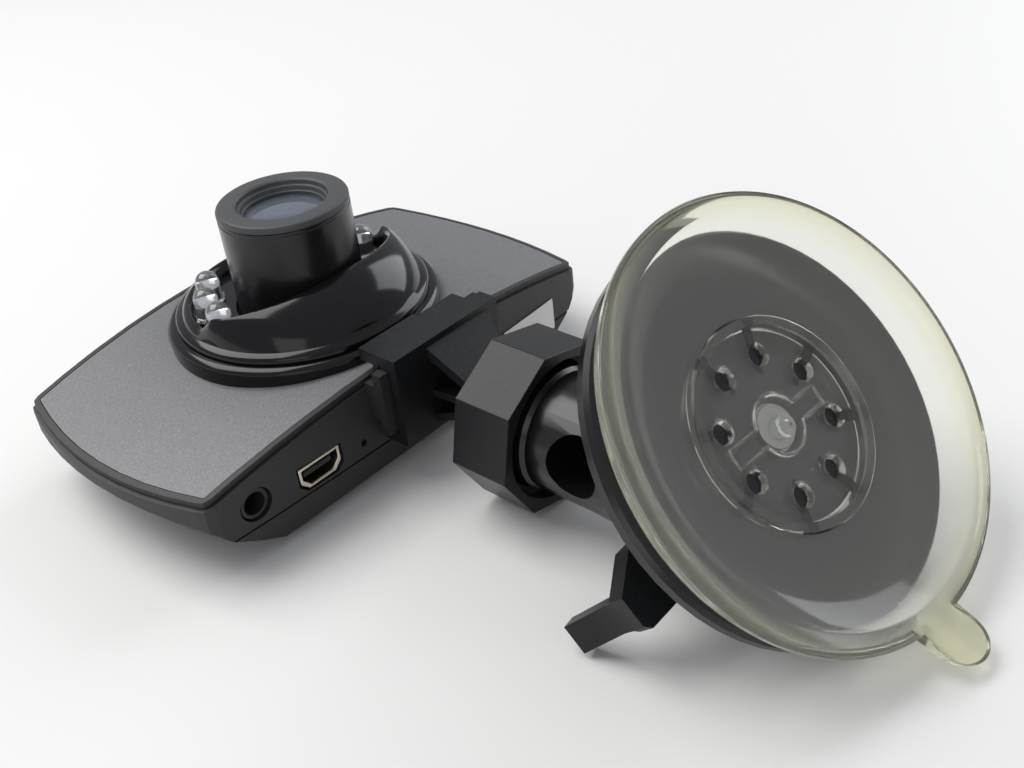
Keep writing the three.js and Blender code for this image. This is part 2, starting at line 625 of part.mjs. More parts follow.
function slideBracket() {
  const x0 = AXIS_X - SHOE_HALF_X;
  const x1 = AXIS_X + SHOE_HALF_X;
  const lipY = SIDE_Y - FIT;
  const half = RAIL_HEAD_HALF_Z + FIT;
  const top = RAIL_Z + half + SHOE_WALL;
  const channel = block(x0, x1, shoeBackY, lipY, RAIL_Z - half - SHOE_WALL, top);
  // the top plate reaches over the panel, as far as the lens unit lets it, and steps down on its right
  const plateY = -(RING_R + FIT) + LENS_Y;
  const plate = block(x0, x1 - 2, shoeBackY, plateY, top - SHOE_PLATE_T, top);
  const step = block(x1 - 10.5, x1 + 1, lipY - 1.5, plateY + 1, top - 0.6, top + 1);
  const stemY = SIDE_Y - RAIL_STEM_T;
  const headRoom = block(x0 - 1, x1 + 1, railHeadY - FIT, stemY + FIT, RAIL_Z - half, RAIL_Z + half);
  const mouthHalf = RAIL_STEM_HALF_Z + FIT;
  const mouth = block(x0 - 1, x1 + 1, stemY, lipY + 1, RAIL_Z - mouthHalf, RAIL_Z + mouthHalf);
  // ribbed neck: an upright web and three flanges that narrow towards the ball
  const neckEnd = nutRearY + 2.2;
  const rootY = shoeBackY + 1;
  const web = alongX(outline([
    [rootY, AXIS_Z - 4.6], [rootY, AXIS_Z + 9.0], [neckEnd, AXIS_Z + 3.0], [neckEnd, AXIS_Z - 3.0],
  ]), AXIS_X - 1.2, AXIS_X + 1.2);
  const flange = (rise, thickness) => alongX(outline([
    [rootY, AXIS_Z + rise], [rootY, AXIS_Z + rise + thickness],
    [neckEnd, AXIS_Z + rise * 0.2 + thickness], [neckEnd, AXIS_Z + rise * 0.2],
  ]), AXIS_X - 12, AXIS_X + 12);
  const taper = raised(outline([
    [AXIS_X - 4.5, rootY], [AXIS_X - 3.6, neckEnd], [AXIS_X + 3.6, neckEnd], [AXIS_X + 9.5, rootY],
  ]), 0, 40);
  const flanges = sum([flange(7.4, 1.8), flange(0.2, 1.2), flange(-4.8, 1.4)]).intersect(taper);
  const stud = rodY(STUD_R, ballY - 2.5, neckEnd + 2.5, AXIS_X, AXIS_Z, 24);
  return channel.add(plate).subtract(step).subtract(headRoom).subtract(mouth).add(web).add(flanges).add(stud);
}

add(dashCamera, 'slide_bracket', slideBracket(), FINISH.matte);
add(dashCamera, 'ball', solid(new THREE.SphereGeometry(BALL_R, 24, 14), move(AXIS_X, ballY, AXIS_Z))
  .subtract(rodY(STUD_R + FIT, ballY - 2.9, ballY + 10, AXIS_X, AXIS_Z, 24)), FINISH.matte);

// -------------------------------------------------- pieces beyond the ball, from the ball's centre
const leverIn = STEM_R + CAM_GAP; // the lever lies on one side of the stem, between these two
const leverOut = leverIn + CAM_LENGTH;
const seatInner = BALL_R + FIT;
const seatOuter = seatInner + SEAT_T;
const socketInner = seatOuter + FIT;
const socketOuter = socketInner + SOCKET_WALL;
const nutBore = socketOuter + FIT;
const armR = socketOuter - 0.45;
const armBaseR = armR + 0.5;
const socketRim = NUT_REAR - NUT_END_T - FIT; // the socket's open end
const alongArm = new THREE.Matrix4().makeRotationX(Math.PI / 2); // turned pieces then run along -Y

// A liner that hugs the ball: a sleeve with a round hollow.
function ballSeat() {
  const reach = seatInner * 0.45;
  const ballRoom = solid(new THREE.SphereGeometry(seatInner, 24, 14));
  const ring = rodY(seatOuter, -seatInner * 0.95, reach, 0, 0, 32);
  return ring.subtract(ballRoom).subtract(rodY(4, -20, 0, 0, 0, 24));
}

function lockNut() {
  const octagon = [];
  const corner = (nutBore + NUT_WALL) / Math.cos(Math.PI / 8);
  for (let i = 0; i < 8; i += 1) {
    octagon.push(polar(corner, 45 * i + NUT_PHASE));
  }
  const front = NUT_REAR - NUT_LENGTH;
  const prism = alongY(outline(octagon), front, NUT_REAR);
  return prism
    .subtract(rodY(nutBore, front - 1, NUT_REAR - NUT_END_T, 0, 0))
    .subtract(rodY(nutBore + NUT_WALL * 0.45, front - 1, front + NUT_RECESS, 0, 0))
    .subtract(rodY(BALL_R + 0.7, front - 1, NUT_REAR + 1, 0, 0))
    .subtract(solid(
      new THREE.CylinderGeometry(BALL_R + 0.6, BALL_R + 2.6, 1.4, ROUND), move(0, NUT_REAR - 0.3, 0),
    )
      .intersect(rodY(20, NUT_REAR - 1, NUT_REAR + 1, 0, 0)));
}

// Black disc, hub and offset arm in one moulding.
function cupHousing() {
  const discBack = -(CUP_DISC_FRONT + CUP_DISC_T);
  const disc = turned([
    [0, -CUP_DISC_FRONT - 1.0], [CUP_DISC_R - 5, -CUP_DISC_FRONT - 0.9], [CUP_DISC_R - 0.6, -CUP_DISC_FRONT],
    [CUP_DISC_R, -CUP_DISC_FRONT - 0.5], [CUP_DISC_R, discBack + 0.4], [CUP_DISC_R - 0.8, discBack],
    [HUB_R + 4, discBack - 0.3], [HUB_R, -HUB_BACK], [0, -HUB_BACK],
  ], 56, fromCup);
  const arm = turned([
    [0, -socketRim], [socketOuter, -socketRim], [socketOuter, NUT_LENGTH - NUT_REAR],
    [armR, NUT_LENGTH - NUT_REAR + 0.6], [armR, 14], [armBaseR, 26], [armBaseR, 48], [0, 48],
  ], ROUND, alongArm);
  const behind = move(0, 0, -50 - CUP_DISC_FRONT - 1.4);
  const behindDisc = solid(new THREE.BoxGeometry(200, 200, 100), behind, fromCup);
  const stemHole = turned([[0, -60], [STEM_R + FIT, -60], [STEM_R + FIT, 0], [0, 0]], 24, fromCup);
  // the slot: round the cam on its pin, and everywhere that the handle swings behind it
  const sweep = CAM_R + STEM_TRAVEL + SLOT_GAP;
  const slotLow = -leverOut - SLOT_GAP;
  const slotHigh = -leverIn + SLOT_GAP;
  const camLength = STEM_R + FIT - slotLow;
  const camRoom = (forward) => solid(
    new THREE.CylinderGeometry(sweep, sweep, camLength, 24),
    move(0, slotLow + camLength / 2, -PIN_DEPTH + forward), fromCup,
  );
  const slotFront = -PIN_DEPTH + LEVER_T / 2 + STEM_TRAVEL + SLOT_GAP;
  const slot = solid(
    new THREE.BoxGeometry(60 + sweep, slotHigh - slotLow, 60),
    move((sweep - 60) / 2, (slotLow + slotHigh) / 2, slotFront - 30), fromCup,
  );
  const socket = rodY(socketInner, -seatInner - FIT, 20, 0, 0, 32);
  const sideHole = rodX(SIDE_HOLE_R, -30, 3.5, SIDE_HOLE_Y, SIDE_HOLE_Z, 24);
  const room = slot.add(camRoom(0)).add(camRoom(STEM_TRAVEL / 2));
  const armCut = arm.intersect(behindDisc).subtract(room);
  return armCut.add(disc).subtract(stemHole).subtract(socket).subtract(sideHole);
}

add(jointGroup, 'ball_seat', ballSeat(), FINISH.matte);
add(jointGroup, 'lock_nut', lockNut(), FINISH.matte);
add(jointGroup, 'cup_housing', cupHousing(), FINISH.matte);

// -------------------------------------------------- cup, pull disc, stem and lever, from the rim plane
function suctionCup() {
  const inner = PULL_R + FIT;
  const membrane = turned([
    [CUP_R - CUP_RIM_WIDTH, 0], [CUP_R, 0], [CUP_R, -1.2], [CUP_R - 1.2, -2.8], [22, -5.4],
    [inner, -6.3], [inner, -PULL_DEPTH - 0.2], [22, -3.6], [CUP_R - CUP_RIM_WIDTH - 1.2, -1.2],
  ], 56);
  // the tab leans forward from a root just inside the rim
  const root = 0.6;
  const lean = new THREE.Matrix4().makeRotationX(THREE.MathUtils.degToRad(-TAB_LEAN));
  const round = new THREE.Matrix4().makeRotationZ(THREE.MathUtils.degToRad(TAB_ANGLE + 90));
  const place = [lean, move(0, root - CUP_R, -0.9), round];
  const ear = turned([
    [0, -TAB_T / 2], [TAB_R, -TAB_T / 2], [TAB_R, TAB_T / 2], [0, TAB_T / 2],
  ], 20, move(0, -TAB_OUT - root, 0), ...place);
  const neck = solid(
    new THREE.BoxGeometry(TAB_R * 1.7, TAB_OUT + 2 * root, TAB_T), move(0, -TAB_OUT / 2, 0), ...place,
  );
  return membrane.add(ear).add(neck);
}

function pullDisc() {
  const holes = [];
  for (let i = 0; i < PULL_HOLES; i += 1) {
    const [x, y] = polar(PULL_HOLE_CIRCLE_R, (360 * i) / PULL_HOLES + PULL_HOLE_PHASE);
    holes.push(pillar(PULL_HOLE_R, -20, 0, x, y, 12));
  }
  const lipR = PULL_R - PULL_LIP_WIDTH;
  const plate = turned([
    [0, -PULL_DEPTH - PULL_T], [PULL_R, -PULL_DEPTH - PULL_T], [PULL_R, -PULL_DEPTH],
    [lipR, -PULL_DEPTH], [lipR, -PULL_DEPTH - PULL_LIP_HEIGHT], [0, -PULL_DEPTH - PULL_LIP_HEIGHT],
  ], 40);
  return plate.subtract(sum(holes));
}

function pullStem() {
  const back = -PIN_DEPTH - 3;
  const front = -PULL_DEPTH - PULL_T - 0.1;
  const eye = rodY(PIN_R + FIT / 2, -10, 10, 0, -PIN_DEPTH, 16);
  return turned([[0, front], [STEM_R, front], [STEM_R, back], [0, back]], 24).subtract(eye);
}

// The cam turns on the pin beside the stem, and the handle runs out of the arm's slot to a thumb tab.
function lever() {
  const barrel = (forward) => rodY(CAM_R, -leverOut, -leverIn, 0, -PIN_DEPTH + forward, 24);
  const back = -PIN_DEPTH - LEVER_T / 2;
  const front = -PIN_DEPTH + LEVER_T / 2;
  const cam = barrel(0).add(barrel(STEM_TRAVEL))
    .add(block(-CAM_R, CAM_R, -leverOut, -leverIn, -PIN_DEPTH, -PIN_DEPTH + STEM_TRAVEL));
  const end = -LEVER_REACH;
  const inner = end + PADDLE_WIDTH;
  const handle = raised(outline([
    [0, -leverOut], [0, -leverIn - 0.4], [inner, -leverIn - 0.4], [inner - 1.0, PADDLE_TOP],
    [inner - 3.0, PADDLE_TOP], [end, -leverIn + 0.4], [end, -leverOut + 1.0], [end + 1.0, -leverOut],
  ]), back, front);
  const tab = alongY(outline([
    [end, front - 0.4], [end + 3.0, front - 0.4], [end + 2.6, back - 1.4],
    [end + 1.2, back - 0.6 * THUMB_DROP], [end, back - THUMB_DROP],
    [end - 2.2, back - THUMB_DROP + 0.6], [end - 1.0, back - 0.5 * THUMB_DROP], [end, back - 1.4],
  ]), -leverOut + 0.8, -leverIn + 0.2);
  const pinHole = rodY(PIN_R + FIT / 2, -30, 30, 0, -PIN_DEPTH, 16);
  return cam.add(handle).add(tab).subtract(pinHole);
}

add(cupGroup, 'suction_cup', suctionCup(), FINISH.clear);
add(cupGroup, 'pull_disc', pullDisc(), FINISH.clear);
add(cupGroup, 'pull_stem', pullStem(), FINISH.steel);
add(cupGroup, 'lever', lever(), FINISH.matte);
add(cupGroup, 'lever_pin', rodY(PIN_R, -leverOut, STEM_R, 0, -PIN_DEPTH, 16), FINISH.steel);

export default dashCamera;
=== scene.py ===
"""A dash camera on a suction-cup mount: the looks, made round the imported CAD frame. Metres, +Z up."""
import json
import math

import bpy
import bmesh
import numpy as np
from mathutils import Matrix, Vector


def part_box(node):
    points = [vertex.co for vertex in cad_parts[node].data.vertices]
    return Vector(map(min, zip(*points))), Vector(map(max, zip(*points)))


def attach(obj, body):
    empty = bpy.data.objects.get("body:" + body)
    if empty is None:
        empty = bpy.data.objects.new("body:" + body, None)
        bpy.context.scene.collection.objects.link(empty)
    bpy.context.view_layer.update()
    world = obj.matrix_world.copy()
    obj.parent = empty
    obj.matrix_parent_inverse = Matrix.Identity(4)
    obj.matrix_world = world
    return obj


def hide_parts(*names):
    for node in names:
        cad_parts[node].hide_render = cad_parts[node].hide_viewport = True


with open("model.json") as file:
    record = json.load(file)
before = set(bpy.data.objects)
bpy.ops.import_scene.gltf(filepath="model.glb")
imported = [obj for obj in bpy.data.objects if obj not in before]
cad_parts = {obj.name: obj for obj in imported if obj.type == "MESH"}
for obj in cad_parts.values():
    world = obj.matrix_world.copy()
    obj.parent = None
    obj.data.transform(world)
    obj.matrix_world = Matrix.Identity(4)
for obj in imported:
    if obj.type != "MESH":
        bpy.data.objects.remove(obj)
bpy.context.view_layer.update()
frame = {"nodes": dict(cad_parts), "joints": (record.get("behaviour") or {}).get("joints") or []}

# ------------------------------------------------------------------ table, light and camera
# The camera lies on a pale table in soft daylight. The table is a plain sheet, and the light
# comes from one broad window overhead, a weak one behind and the pale room itself.
TABLE_COLOR = (0.80, 0.795, 0.785)
ROOM_COLOR = (0.93, 0.95, 1.0)
ROOM_STRENGTH = 0.46
EYE = (-0.0980, -0.1415, 0.1112)
EYE_RIGHT = (0.6544, -0.74964, -0.09901)
EYE_UP = (0.47306, 0.30373, 0.82702)
EYE_BACK = (-0.58989, -0.58804, 0.55339)
EYE_LENS = 41.6


def table_sheet(half_size):
    """A flat square sheet at z = 0, with four corners and one face."""
    mesh = bpy.data.meshes.new("table")
    s = half_size
    mesh.from_pydata([(-s, -s, 0), (s, -s, 0), (s, s, 0), (-s, s, 0)], [], [(0, 1, 2, 3)])
    table = bpy.data.objects.new("table", mesh)
    bpy.context.scene.collection.objects.link(table)
    return table


def table_material():
    """Pale laminate: one colour with a very faint cloudiness."""
    material = bpy.data.materials.new("table_laminate")
    material.use_nodes = True
    nodes, links = material.node_tree.nodes, material.node_tree.links
    shader = nodes["Principled BSDF"]
    shader.inputs["Roughness"].default_value = 0.55
    place = nodes.new("ShaderNodeTexCoord")
    cloud = nodes.new("ShaderNodeTexNoise")
    cloud.inputs["Scale"].default_value = 9.0
    tone = nodes.new("ShaderNodeMix")
    tone.data_type = "RGBA"
    tone.inputs["A"].default_value = (*[c * 0.985 for c in TABLE_COLOR], 1)
    tone.inputs["B"].default_value = (*TABLE_COLOR, 1)
    links.new(place.outputs["Object"], cloud.inputs["Vector"])
    links.new(cloud.outputs["Fac"], tone.inputs["Factor"])
    links.new(tone.outputs["Result"], shader.inputs["Base Color"])
    return material


def window_light(name, place, aim, width, power, color=(1, 1, 1)):
    """A square area light at place that faces the point aim."""
    light = bpy.data.lights.new(name, "AREA")
    light.size = width
    light.energy = power
    light.color = color
    holder = bpy.data.objects.new(name, light)
    bpy.context.scene.collection.objects.link(holder)
    direction = np.array(place, float) - np.array(aim, float)
    z = direction / np.linalg.norm(direction)
    x = np.cross((0, 0, 1), z) if abs(z[2]) < 0.999 else np.array((1.0, 0, 0))
    x = x / np.linalg.norm(x)
    y = np.cross(z, x)
    holder.matrix_world = Matrix([(x[i], y[i], z[i], place[i]) for i in range(3)] + [(0, 0, 0, 1)])
    return holder


table = table_sheet(3.0)
table.data.materials.append(table_material())
window_light("window_over", (-0.15, 0.32, 0.62), (0.0, -0.03, 0.02), 0.55, 4.3, (1.0, 0.99, 0.97))
window_light("window_right", (0.75, -0.05, 0.42), (0.0, -0.04, 0.02), 0.5, 2.4, (0.96, 0.98, 1.0))
window_light("window_left", (-0.62, -0.45, 0.30), (0.0, -0.04, 0.02), 0.35, 0.35)

room = bpy.data.worlds.new("room")
room.use_nodes = True
room.node_tree.nodes["Background"].inputs["Color"].default_value = (*ROOM_COLOR, 1)
room.node_tree.nodes["Background"].inputs["Strength"].default_value = ROOM_STRENGTH
bpy.context.scene.world = room
bpy.context.scene.view_settings.view_transform = "Standard"

eye_data = bpy.data.cameras.new("eye")
eye_data.lens = EYE_LENS
eye_data.sensor_width = 36.0
eye_data.clip_start = 0.01
eye = bpy.data.objects.new("eye", eye_data)
bpy.context.scene.collection.objects.link(eye)
eye.matrix_world = Matrix([
    (EYE_RIGHT[i], EYE_UP[i], EYE_BACK[i], EYE[i]) for i in range(3)
] + [(0, 0, 0, 1)])
bpy.context.scene.camera = eye

# ------------------------------------------------------------------ camera housings
# Two black mouldings, screwed together, with a parting line that runs round the body. They are
# injection-moulded plastic with a fine matte grain, and every outer edge has a small round.
MM = 0.001
HOUSING_COLOR = (0.016, 0.0165, 0.018)
HOUSING_EDGE = 0.28 * MM


def grain_group():
    """Moulded grain: two sizes of noise give a height, and a broad noise gives a slow change of tone."""
    group = bpy.data.node_groups.new("moulded_grain", "ShaderNodeTree")
    for name, kind, value in (("Size", "NodeSocketFloat", 5000.0), ("Clouds", "NodeSocketFloat", 60.0)):
        group.interface.new_socket(name, in_out="INPUT", socket_type=kind).default_value = value
    for name in ("Height", "Tone"):
        group.interface.new_socket(name, in_out="OUTPUT", socket_type="NodeSocketFloat")
    nodes, links = group.nodes, group.links
    given = nodes.new("NodeGroupInput")
    out = nodes.new("NodeGroupOutput")
    place = nodes.new("ShaderNodeTexCoord")
    fine = nodes.new("ShaderNodeTexNoise")
    fine.inputs["Detail"].default_value = 3.0
    broad = nodes.new("ShaderNodeTexNoise")
    broad.inputs["Detail"].default_value = 4.0
    broad.inputs["Roughness"].default_value = 0.6
    for texture, scale in ((fine, "Size"), (broad, "Clouds")):
        links.new(place.outputs["Object"], texture.inputs["Vector"])
        links.new(given.outputs[scale], texture.inputs["Scale"])
    links.new(fine.outputs["Fac"], out.inputs["Height"])
    links.new(broad.outputs["Fac"], out.inputs["Tone"])
    return group


def dust_group():
    """Settled dust: small specks on the faces that look up, from a fine noise cut off high."""
    group = bpy.data.node_groups.new("settled_dust", "ShaderNodeTree")
    for name, value in (("Speck size", 1800.0), ("Amount", 0.3)):
        group.interface.new_socket(name, in_out="INPUT", socket_type="NodeSocketFloat").default_value = value
    group.interface.new_socket("Mask", in_out="OUTPUT", socket_type="NodeSocketFloat")
    nodes, links = group.nodes, group.links
    given = nodes.new("NodeGroupInput")
    out = nodes.new("NodeGroupOutput")
    place = nodes.new("ShaderNodeTexCoord")
    specks = nodes.new("ShaderNodeTexNoise")
    specks.inputs["Detail"].default_value = 6.0
    specks.inputs["Roughness"].default_value = 0.75
    cut = nodes.new("ShaderNodeMapRange")
    cut.inputs["From Min"].default_value = 0.56
    cut.inputs["From Max"].default_value = 0.74
    facing = nodes.new("ShaderNodeNewGeometry")
    split = nodes.new("ShaderNodeSeparateXYZ")
    up = nodes.new("ShaderNodeMapRange")
    up.inputs["From Min"].default_value = -0.2
    up.inputs["From Max"].default_value = 0.9
    both = nodes.new("ShaderNodeMath")
    both.operation = "MULTIPLY"
    share = nodes.new("ShaderNodeMath")
    share.operation = "MULTIPLY"
    links.new(place.outputs["Object"], specks.inputs["Vector"])
    links.new(given.outputs["Speck size"], specks.inputs["Scale"])
    links.new(specks.outputs["Fac"], cut.inputs["Value"])
    links.new(facing.outputs["Normal"], split.inputs["Vector"])
    links.new(split.outputs["Z"], up.inputs["Value"])
    links.new(cut.outputs["Result"], both.inputs[0])
    links.new(up.outputs["Result"], both.inputs[1])
    links.new(both.outputs["Value"], share.inputs[0])
    links.new(given.outputs["Amount"], share.inputs[1])
    links.new(share.outputs["Value"], out.inputs["Mask"])
    return group


GRAIN = grain_group()
DUST = dust_group()


def moulded_plastic(
    name, color, roughness, size=4200.0, depth=0.35, dust=0.25, lighter=1.25, spread=0.1, shine=0.5,
):
    """Moulded plastic: a grain in the surface, tone and gloss that wander a little, and settled dust."""
    material = bpy.data.materials.new(name)
    material.use_nodes = True
    nodes, links = material.node_tree.nodes, material.node_tree.links
    shader = nodes["Principled BSDF"]
    shader.inputs["Specular IOR Level"].default_value = shine
    grain = nodes.new("ShaderNodeGroup")
    grain.node_tree = GRAIN
    grain.inputs["Size"].default_value = size
    grain.inputs["Clouds"].default_value = 70.0
    tone = nodes.new("ShaderNodeMix")
    tone.data_type = "RGBA"
    tone.inputs["A"].default_value = (*color, 1)
    tone.inputs["B"].default_value = (*[min(1.0, c * lighter) for c in color], 1)
    specks = nodes.new("ShaderNodeGroup")
    specks.node_tree = DUST
    specks.inputs["Amount"].default_value = dust
    dusty = nodes.new("ShaderNodeMix")
    dusty.data_type = "RGBA"
    dusty.inputs["B"].default_value = (0.42, 0.42, 0.40, 1)
    gloss = nodes.new("ShaderNodeMapRange")
    gloss.inputs["To Min"].default_value = max(0.02, roughness - spread)
    gloss.inputs["To Max"].default_value = min(1.0, roughness + spread)
    bump = nodes.new("ShaderNodeBump")
    bump.inputs["Strength"].default_value = depth
    bump.inputs["Distance"].default_value = 0.02 * MM
    links.new(grain.outputs["Tone"], tone.inputs["Factor"])
    links.new(tone.outputs["Result"], dusty.inputs["A"])
    links.new(specks.outputs["Mask"], dusty.inputs["Factor"])
    links.new(dusty.outputs["Result"], shader.inputs["Base Color"])
    links.new(grain.outputs["Tone"], gloss.inputs["Value"])
    links.new(gloss.outputs["Result"], shader.inputs["Roughness"])
    links.new(grain.outputs["Height"], bump.inputs["Height"])
    links.new(bump.outputs["Normal"], shader.inputs["Normal"])
    return material


def dress(node, material):
    """Gives a CAD node, as it stands, its material."""
    target = frame["nodes"][node]
    target.data.materials.clear()
    target.data.materials.append(material)


def finished(piece, edge, angle=32.0, steps=2):
    """Rounds a piece's sharp edges by edge and smooths its shading between them."""
    mesh = piece.data
    mesh.polygons.foreach_set("use_smooth", np.ones(len(mesh.polygons), bool))
    mesh.set_sharp_from_angle(angle=math.radians(angle))
    if edge:
        round_edges = piece.modifiers.new("round_edges", "BEVEL")
        round_edges.width = edge
        round_edges.segments = steps
        round_edges.limit_method = "ANGLE"
        round_edges.angle_limit = math.radians(angle)
        round_edges.miter_outer = "MITER_ARC"
        round_edges.use_clamp_overlap = True
    even = piece.modifiers.new("even_shading", "WEIGHTED_NORMAL")
    even.keep_sharp = True
    return piece


def rounded_copy(node, body, material, edge, angle=32.0, flat=0.6):
    """A copy of a CAD node with its loose triangles joined and its flat faces whole, then finished."""
    mesh = frame["nodes"][node].data.copy()
    mesh.name = f"{node}_moulding"
    work = bmesh.new()
    work.from_mesh(mesh)
    bmesh.ops.remove_doubles(work, verts=work.verts, dist=0.002 * MM)
    bmesh.ops.dissolve_limit(
        work, angle_limit=math.radians(flat), verts=work.verts, edges=work.edges, use_dissolve_boundaries=False,
    )
    work.to_mesh(mesh)
    work.free()
    mesh.materials.clear()
    mesh.materials.append(material)
    piece = bpy.data.objects.new(f"{node}_moulding", mesh)
    bpy.context.scene.collection.objects.link(piece)
    finished(piece, edge, angle)
    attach(piece, body)
    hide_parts(node)
    return piece


housing_black = moulded_plastic("housing_black", HOUSING_COLOR, 0.5, size=3800.0, depth=0.4, dust=0.06)
rounded_copy("front_housing", "camera", housing_black, HOUSING_EDGE)
rounded_copy("rear_housing", "camera", housing_black, HOUSING_EDGE)

# ------------------------------------------------------------------ front panel
# A thin aluminium panel, painted satin silver grey with fine metal flakes and glued into the
# front housing. It arches along the camera's length, and the lens barrel stands through it.
PANEL_COLOR = (0.155, 0.157, 0.165)
PANEL_FLAKE_COLOR = (0.30, 0.30, 0.31)
PANEL_EDGE = 0.15 * MM


def painted_flake():
    """Satin metallic paint: cells of slightly different tone and gloss, a fifth of a millimetre across."""
    material = bpy.data.materials.new("panel_silver")
    material.use_nodes = True
    nodes, links = material.node_tree.nodes, material.node_tree.links
    shader = nodes["Principled BSDF"]
    shader.inputs["Metallic"].default_value = 0.35
    place = nodes.new("ShaderNodeTexCoord")
    flakes = nodes.new("ShaderNodeTexVoronoi")
    flakes.inputs["Scale"].default_value = 8200.0
    tone = nodes.new("ShaderNodeMix")
    tone.data_type = "RGBA"
    tone.inputs["A"].default_value = (*PANEL_COLOR, 1)
    tone.inputs["B"].default_value = (*PANEL_FLAKE_COLOR, 1)
    share = nodes.new("ShaderNodeMapRange")
    share.inputs["From Min"].default_value = 0.35
    share.inputs["From Max"].default_value = 1.0
    share.inputs["To Max"].default_value = 0.5
    gloss = nodes.new("ShaderNodeMapRange")
    gloss.inputs["To Min"].default_value = 0.42
    gloss.inputs["To Max"].default_value = 0.56
    grain = nodes.new("ShaderNodeGroup")
    grain.node_tree = GRAIN
    grain.inputs["Size"].default_value = 6000.0
    bump = nodes.new("ShaderNodeBump")
    bump.inputs["Strength"].default_value = 0.12
    bump.inputs["Distance"].default_value = 0.01 * MM
    split = nodes.new("ShaderNodeSeparateColor")
    links.new(place.outputs["Object"], flakes.inputs["Vector"])
    links.new(flakes.outputs["Color"], split.inputs["Color"])
    links.new(split.outputs["Red"], share.inputs["Value"])
    links.new(share.outputs["Result"], tone.inputs["Factor"])
    links.new(tone.outputs["Result"], shader.inputs["Base Color"])
    links.new(split.outputs["Green"], gloss.inputs["Value"])
    links.new(gloss.outputs["Result"], shader.inputs["Roughness"])
    links.new(grain.outputs["Height"], bump.inputs["Height"])
    links.new(bump.outputs["Normal"], shader.inputs["Normal"])
    return material


rounded_copy("front_panel", "camera", painted_flake(), PANEL_EDGE, angle=45.0, flat=0.05)

# ------------------------------------------------------------------ blank label
# A white paper label with no print, stuck on the mount side of the front housing.


def label_paper():
    """Uncoated paper: white with a faint fibre pattern."""
    material = moulded_plastic(
        "label_paper", (0.80, 0.79, 0.76), 0.8, size=2500.0, depth=0.2, dust=0.0, lighter=1.04,
    )
    return material


dress("label_sticker", label_paper())

# ------------------------------------------------------------------ lens base ring, cowl and barrel
# The lens stands in a round two-step foot of polished black plastic. Its eyebrow shades the lamps
# on the mount side. The barrel is one turned tube with a dull ring pressed over its front glass.
BARREL_SIDES = 144
nodes_of = frame["nodes"]


def metres(node):
    """Lowest and highest corner of a CAD node as arrays."""
    low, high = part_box(node)
    return np.array(low), np.array(high)


def surface(name, points, faces, material, body, replaces=()):
    """Puts points and faces into a mesh object that rides on body."""
    mesh = bpy.data.meshes.new(name)
    mesh.from_pydata(points.tolist(), [], faces)
    mesh.validate()
    mesh.materials.append(material)
    piece = bpy.data.objects.new(name, mesh)
    bpy.context.scene.collection.objects.link(piece)
    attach(piece, body)
    if replaces:
        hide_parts(*replaces)
    return piece


def turned_points(profile, sides):
    """A closed profile carried round Z: point j of turn i is (r_j cos t_i, r_j sin t_i, z_j)."""
    r, z = np.array(profile, float).T
    t = np.arange(sides) * (2 * math.pi / sides)
    grid = np.stack([np.outer(np.cos(t), r), np.outer(np.sin(t), r), np.broadcast_to(z, (sides, len(z)))], -1)
    return grid.reshape(-1, 3)


def ring_faces(sides, rows, closed):
    """Quads between neighbouring turns; closed joins the last profile point to the first."""
    i, j = np.meshgrid(np.arange(sides), np.arange(rows if closed else rows - 1), indexing="ij")
    i2, j2 = (i + 1) % sides, (j + 1) % rows
    quads = np.stack([i * rows + j, i2 * rows + j, i2 * rows + j2, i * rows + j2], -1)
    return quads.reshape(-1, 4)


def turned_mesh(profile, sides):
    """A solid of revolution. A profile that starts and ends on the axis is closed by fans of triangles."""
    profile = np.array(profile, float)
    area = np.sum(profile[:, 0] * np.roll(profile[:, 1], -1) - np.roll(profile[:, 0], -1) * profile[:, 1])
    if area < 0:
        profile = profile[::-1]
    on_axis = profile[0, 0] == 0 or profile[-1, 0] == 0
    if not on_axis:
        return turned_points(profile, sides), ring_faces(sides, len(profile), True).tolist()
    poles = [k for k in range(len(profile)) if profile[k, 0] == 0]
    start = poles[0] if len(poles) > 1 and poles[1] == poles[0] + 1 else -1
    profile = np.roll(profile, -(start + 1), axis=0) if start >= 0 else profile
    inner = profile[profile[:, 0] > 0]
    points = turned_points(inner, sides)
    rows = len(inner)
    faces = ring_faces(sides, rows, False).tolist()
    first = np.array([[0, 0, profile[0, 1]]])
    last = np.array([[0, 0, profile[-1, 1]]])
    points = np.vstack([points, first, last])
    base, tip = len(points) - 2, len(points) - 1
    turn = np.arange(sides)
    after = (turn + 1) % sides
    faces += np.stack([np.full(sides, base), after * rows, turn * rows], -1).tolist()
    faces += np.stack([np.full(sides, tip), turn * rows + rows - 1, after * rows + rows - 1], -1).tolist()
    return points, faces


def turned_piece(
    name, profile_mm, centre, material, body, edge, replaces=(), sides=BARREL_SIDES, place=None,
):
    """A turned piece from a profile in millimetres, stood at centre, or set by a matrix in place."""
    points, faces = turned_mesh(np.array(profile_mm, float) * MM, sides)
    if place is None:
        points = points + np.array(centre, float)
    else:
        points = points @ np.array(place.to_3x3()).T + np.array(place.translation)
    piece = surface(name, points, faces, material, body, replaces)
    return finished(piece, edge)


gloss_black = moulded_plastic("gloss_black", (0.004, 0.004, 0.0045), 0.12, size=900.0, depth=0.03, dust=0.03,
                              spread=0.04, shine=0.36)
barrel_black = moulded_plastic("barrel_black", (0.010, 0.0104, 0.0112), 0.24, size=2600.0, depth=0.10,
                               dust=0.05, spread=0.06, shine=0.4)
ring_grey = moulded_plastic("ring_grey", (0.050, 0.052, 0.055), 0.52, size=4200.0, depth=0.4, dust=0.10)

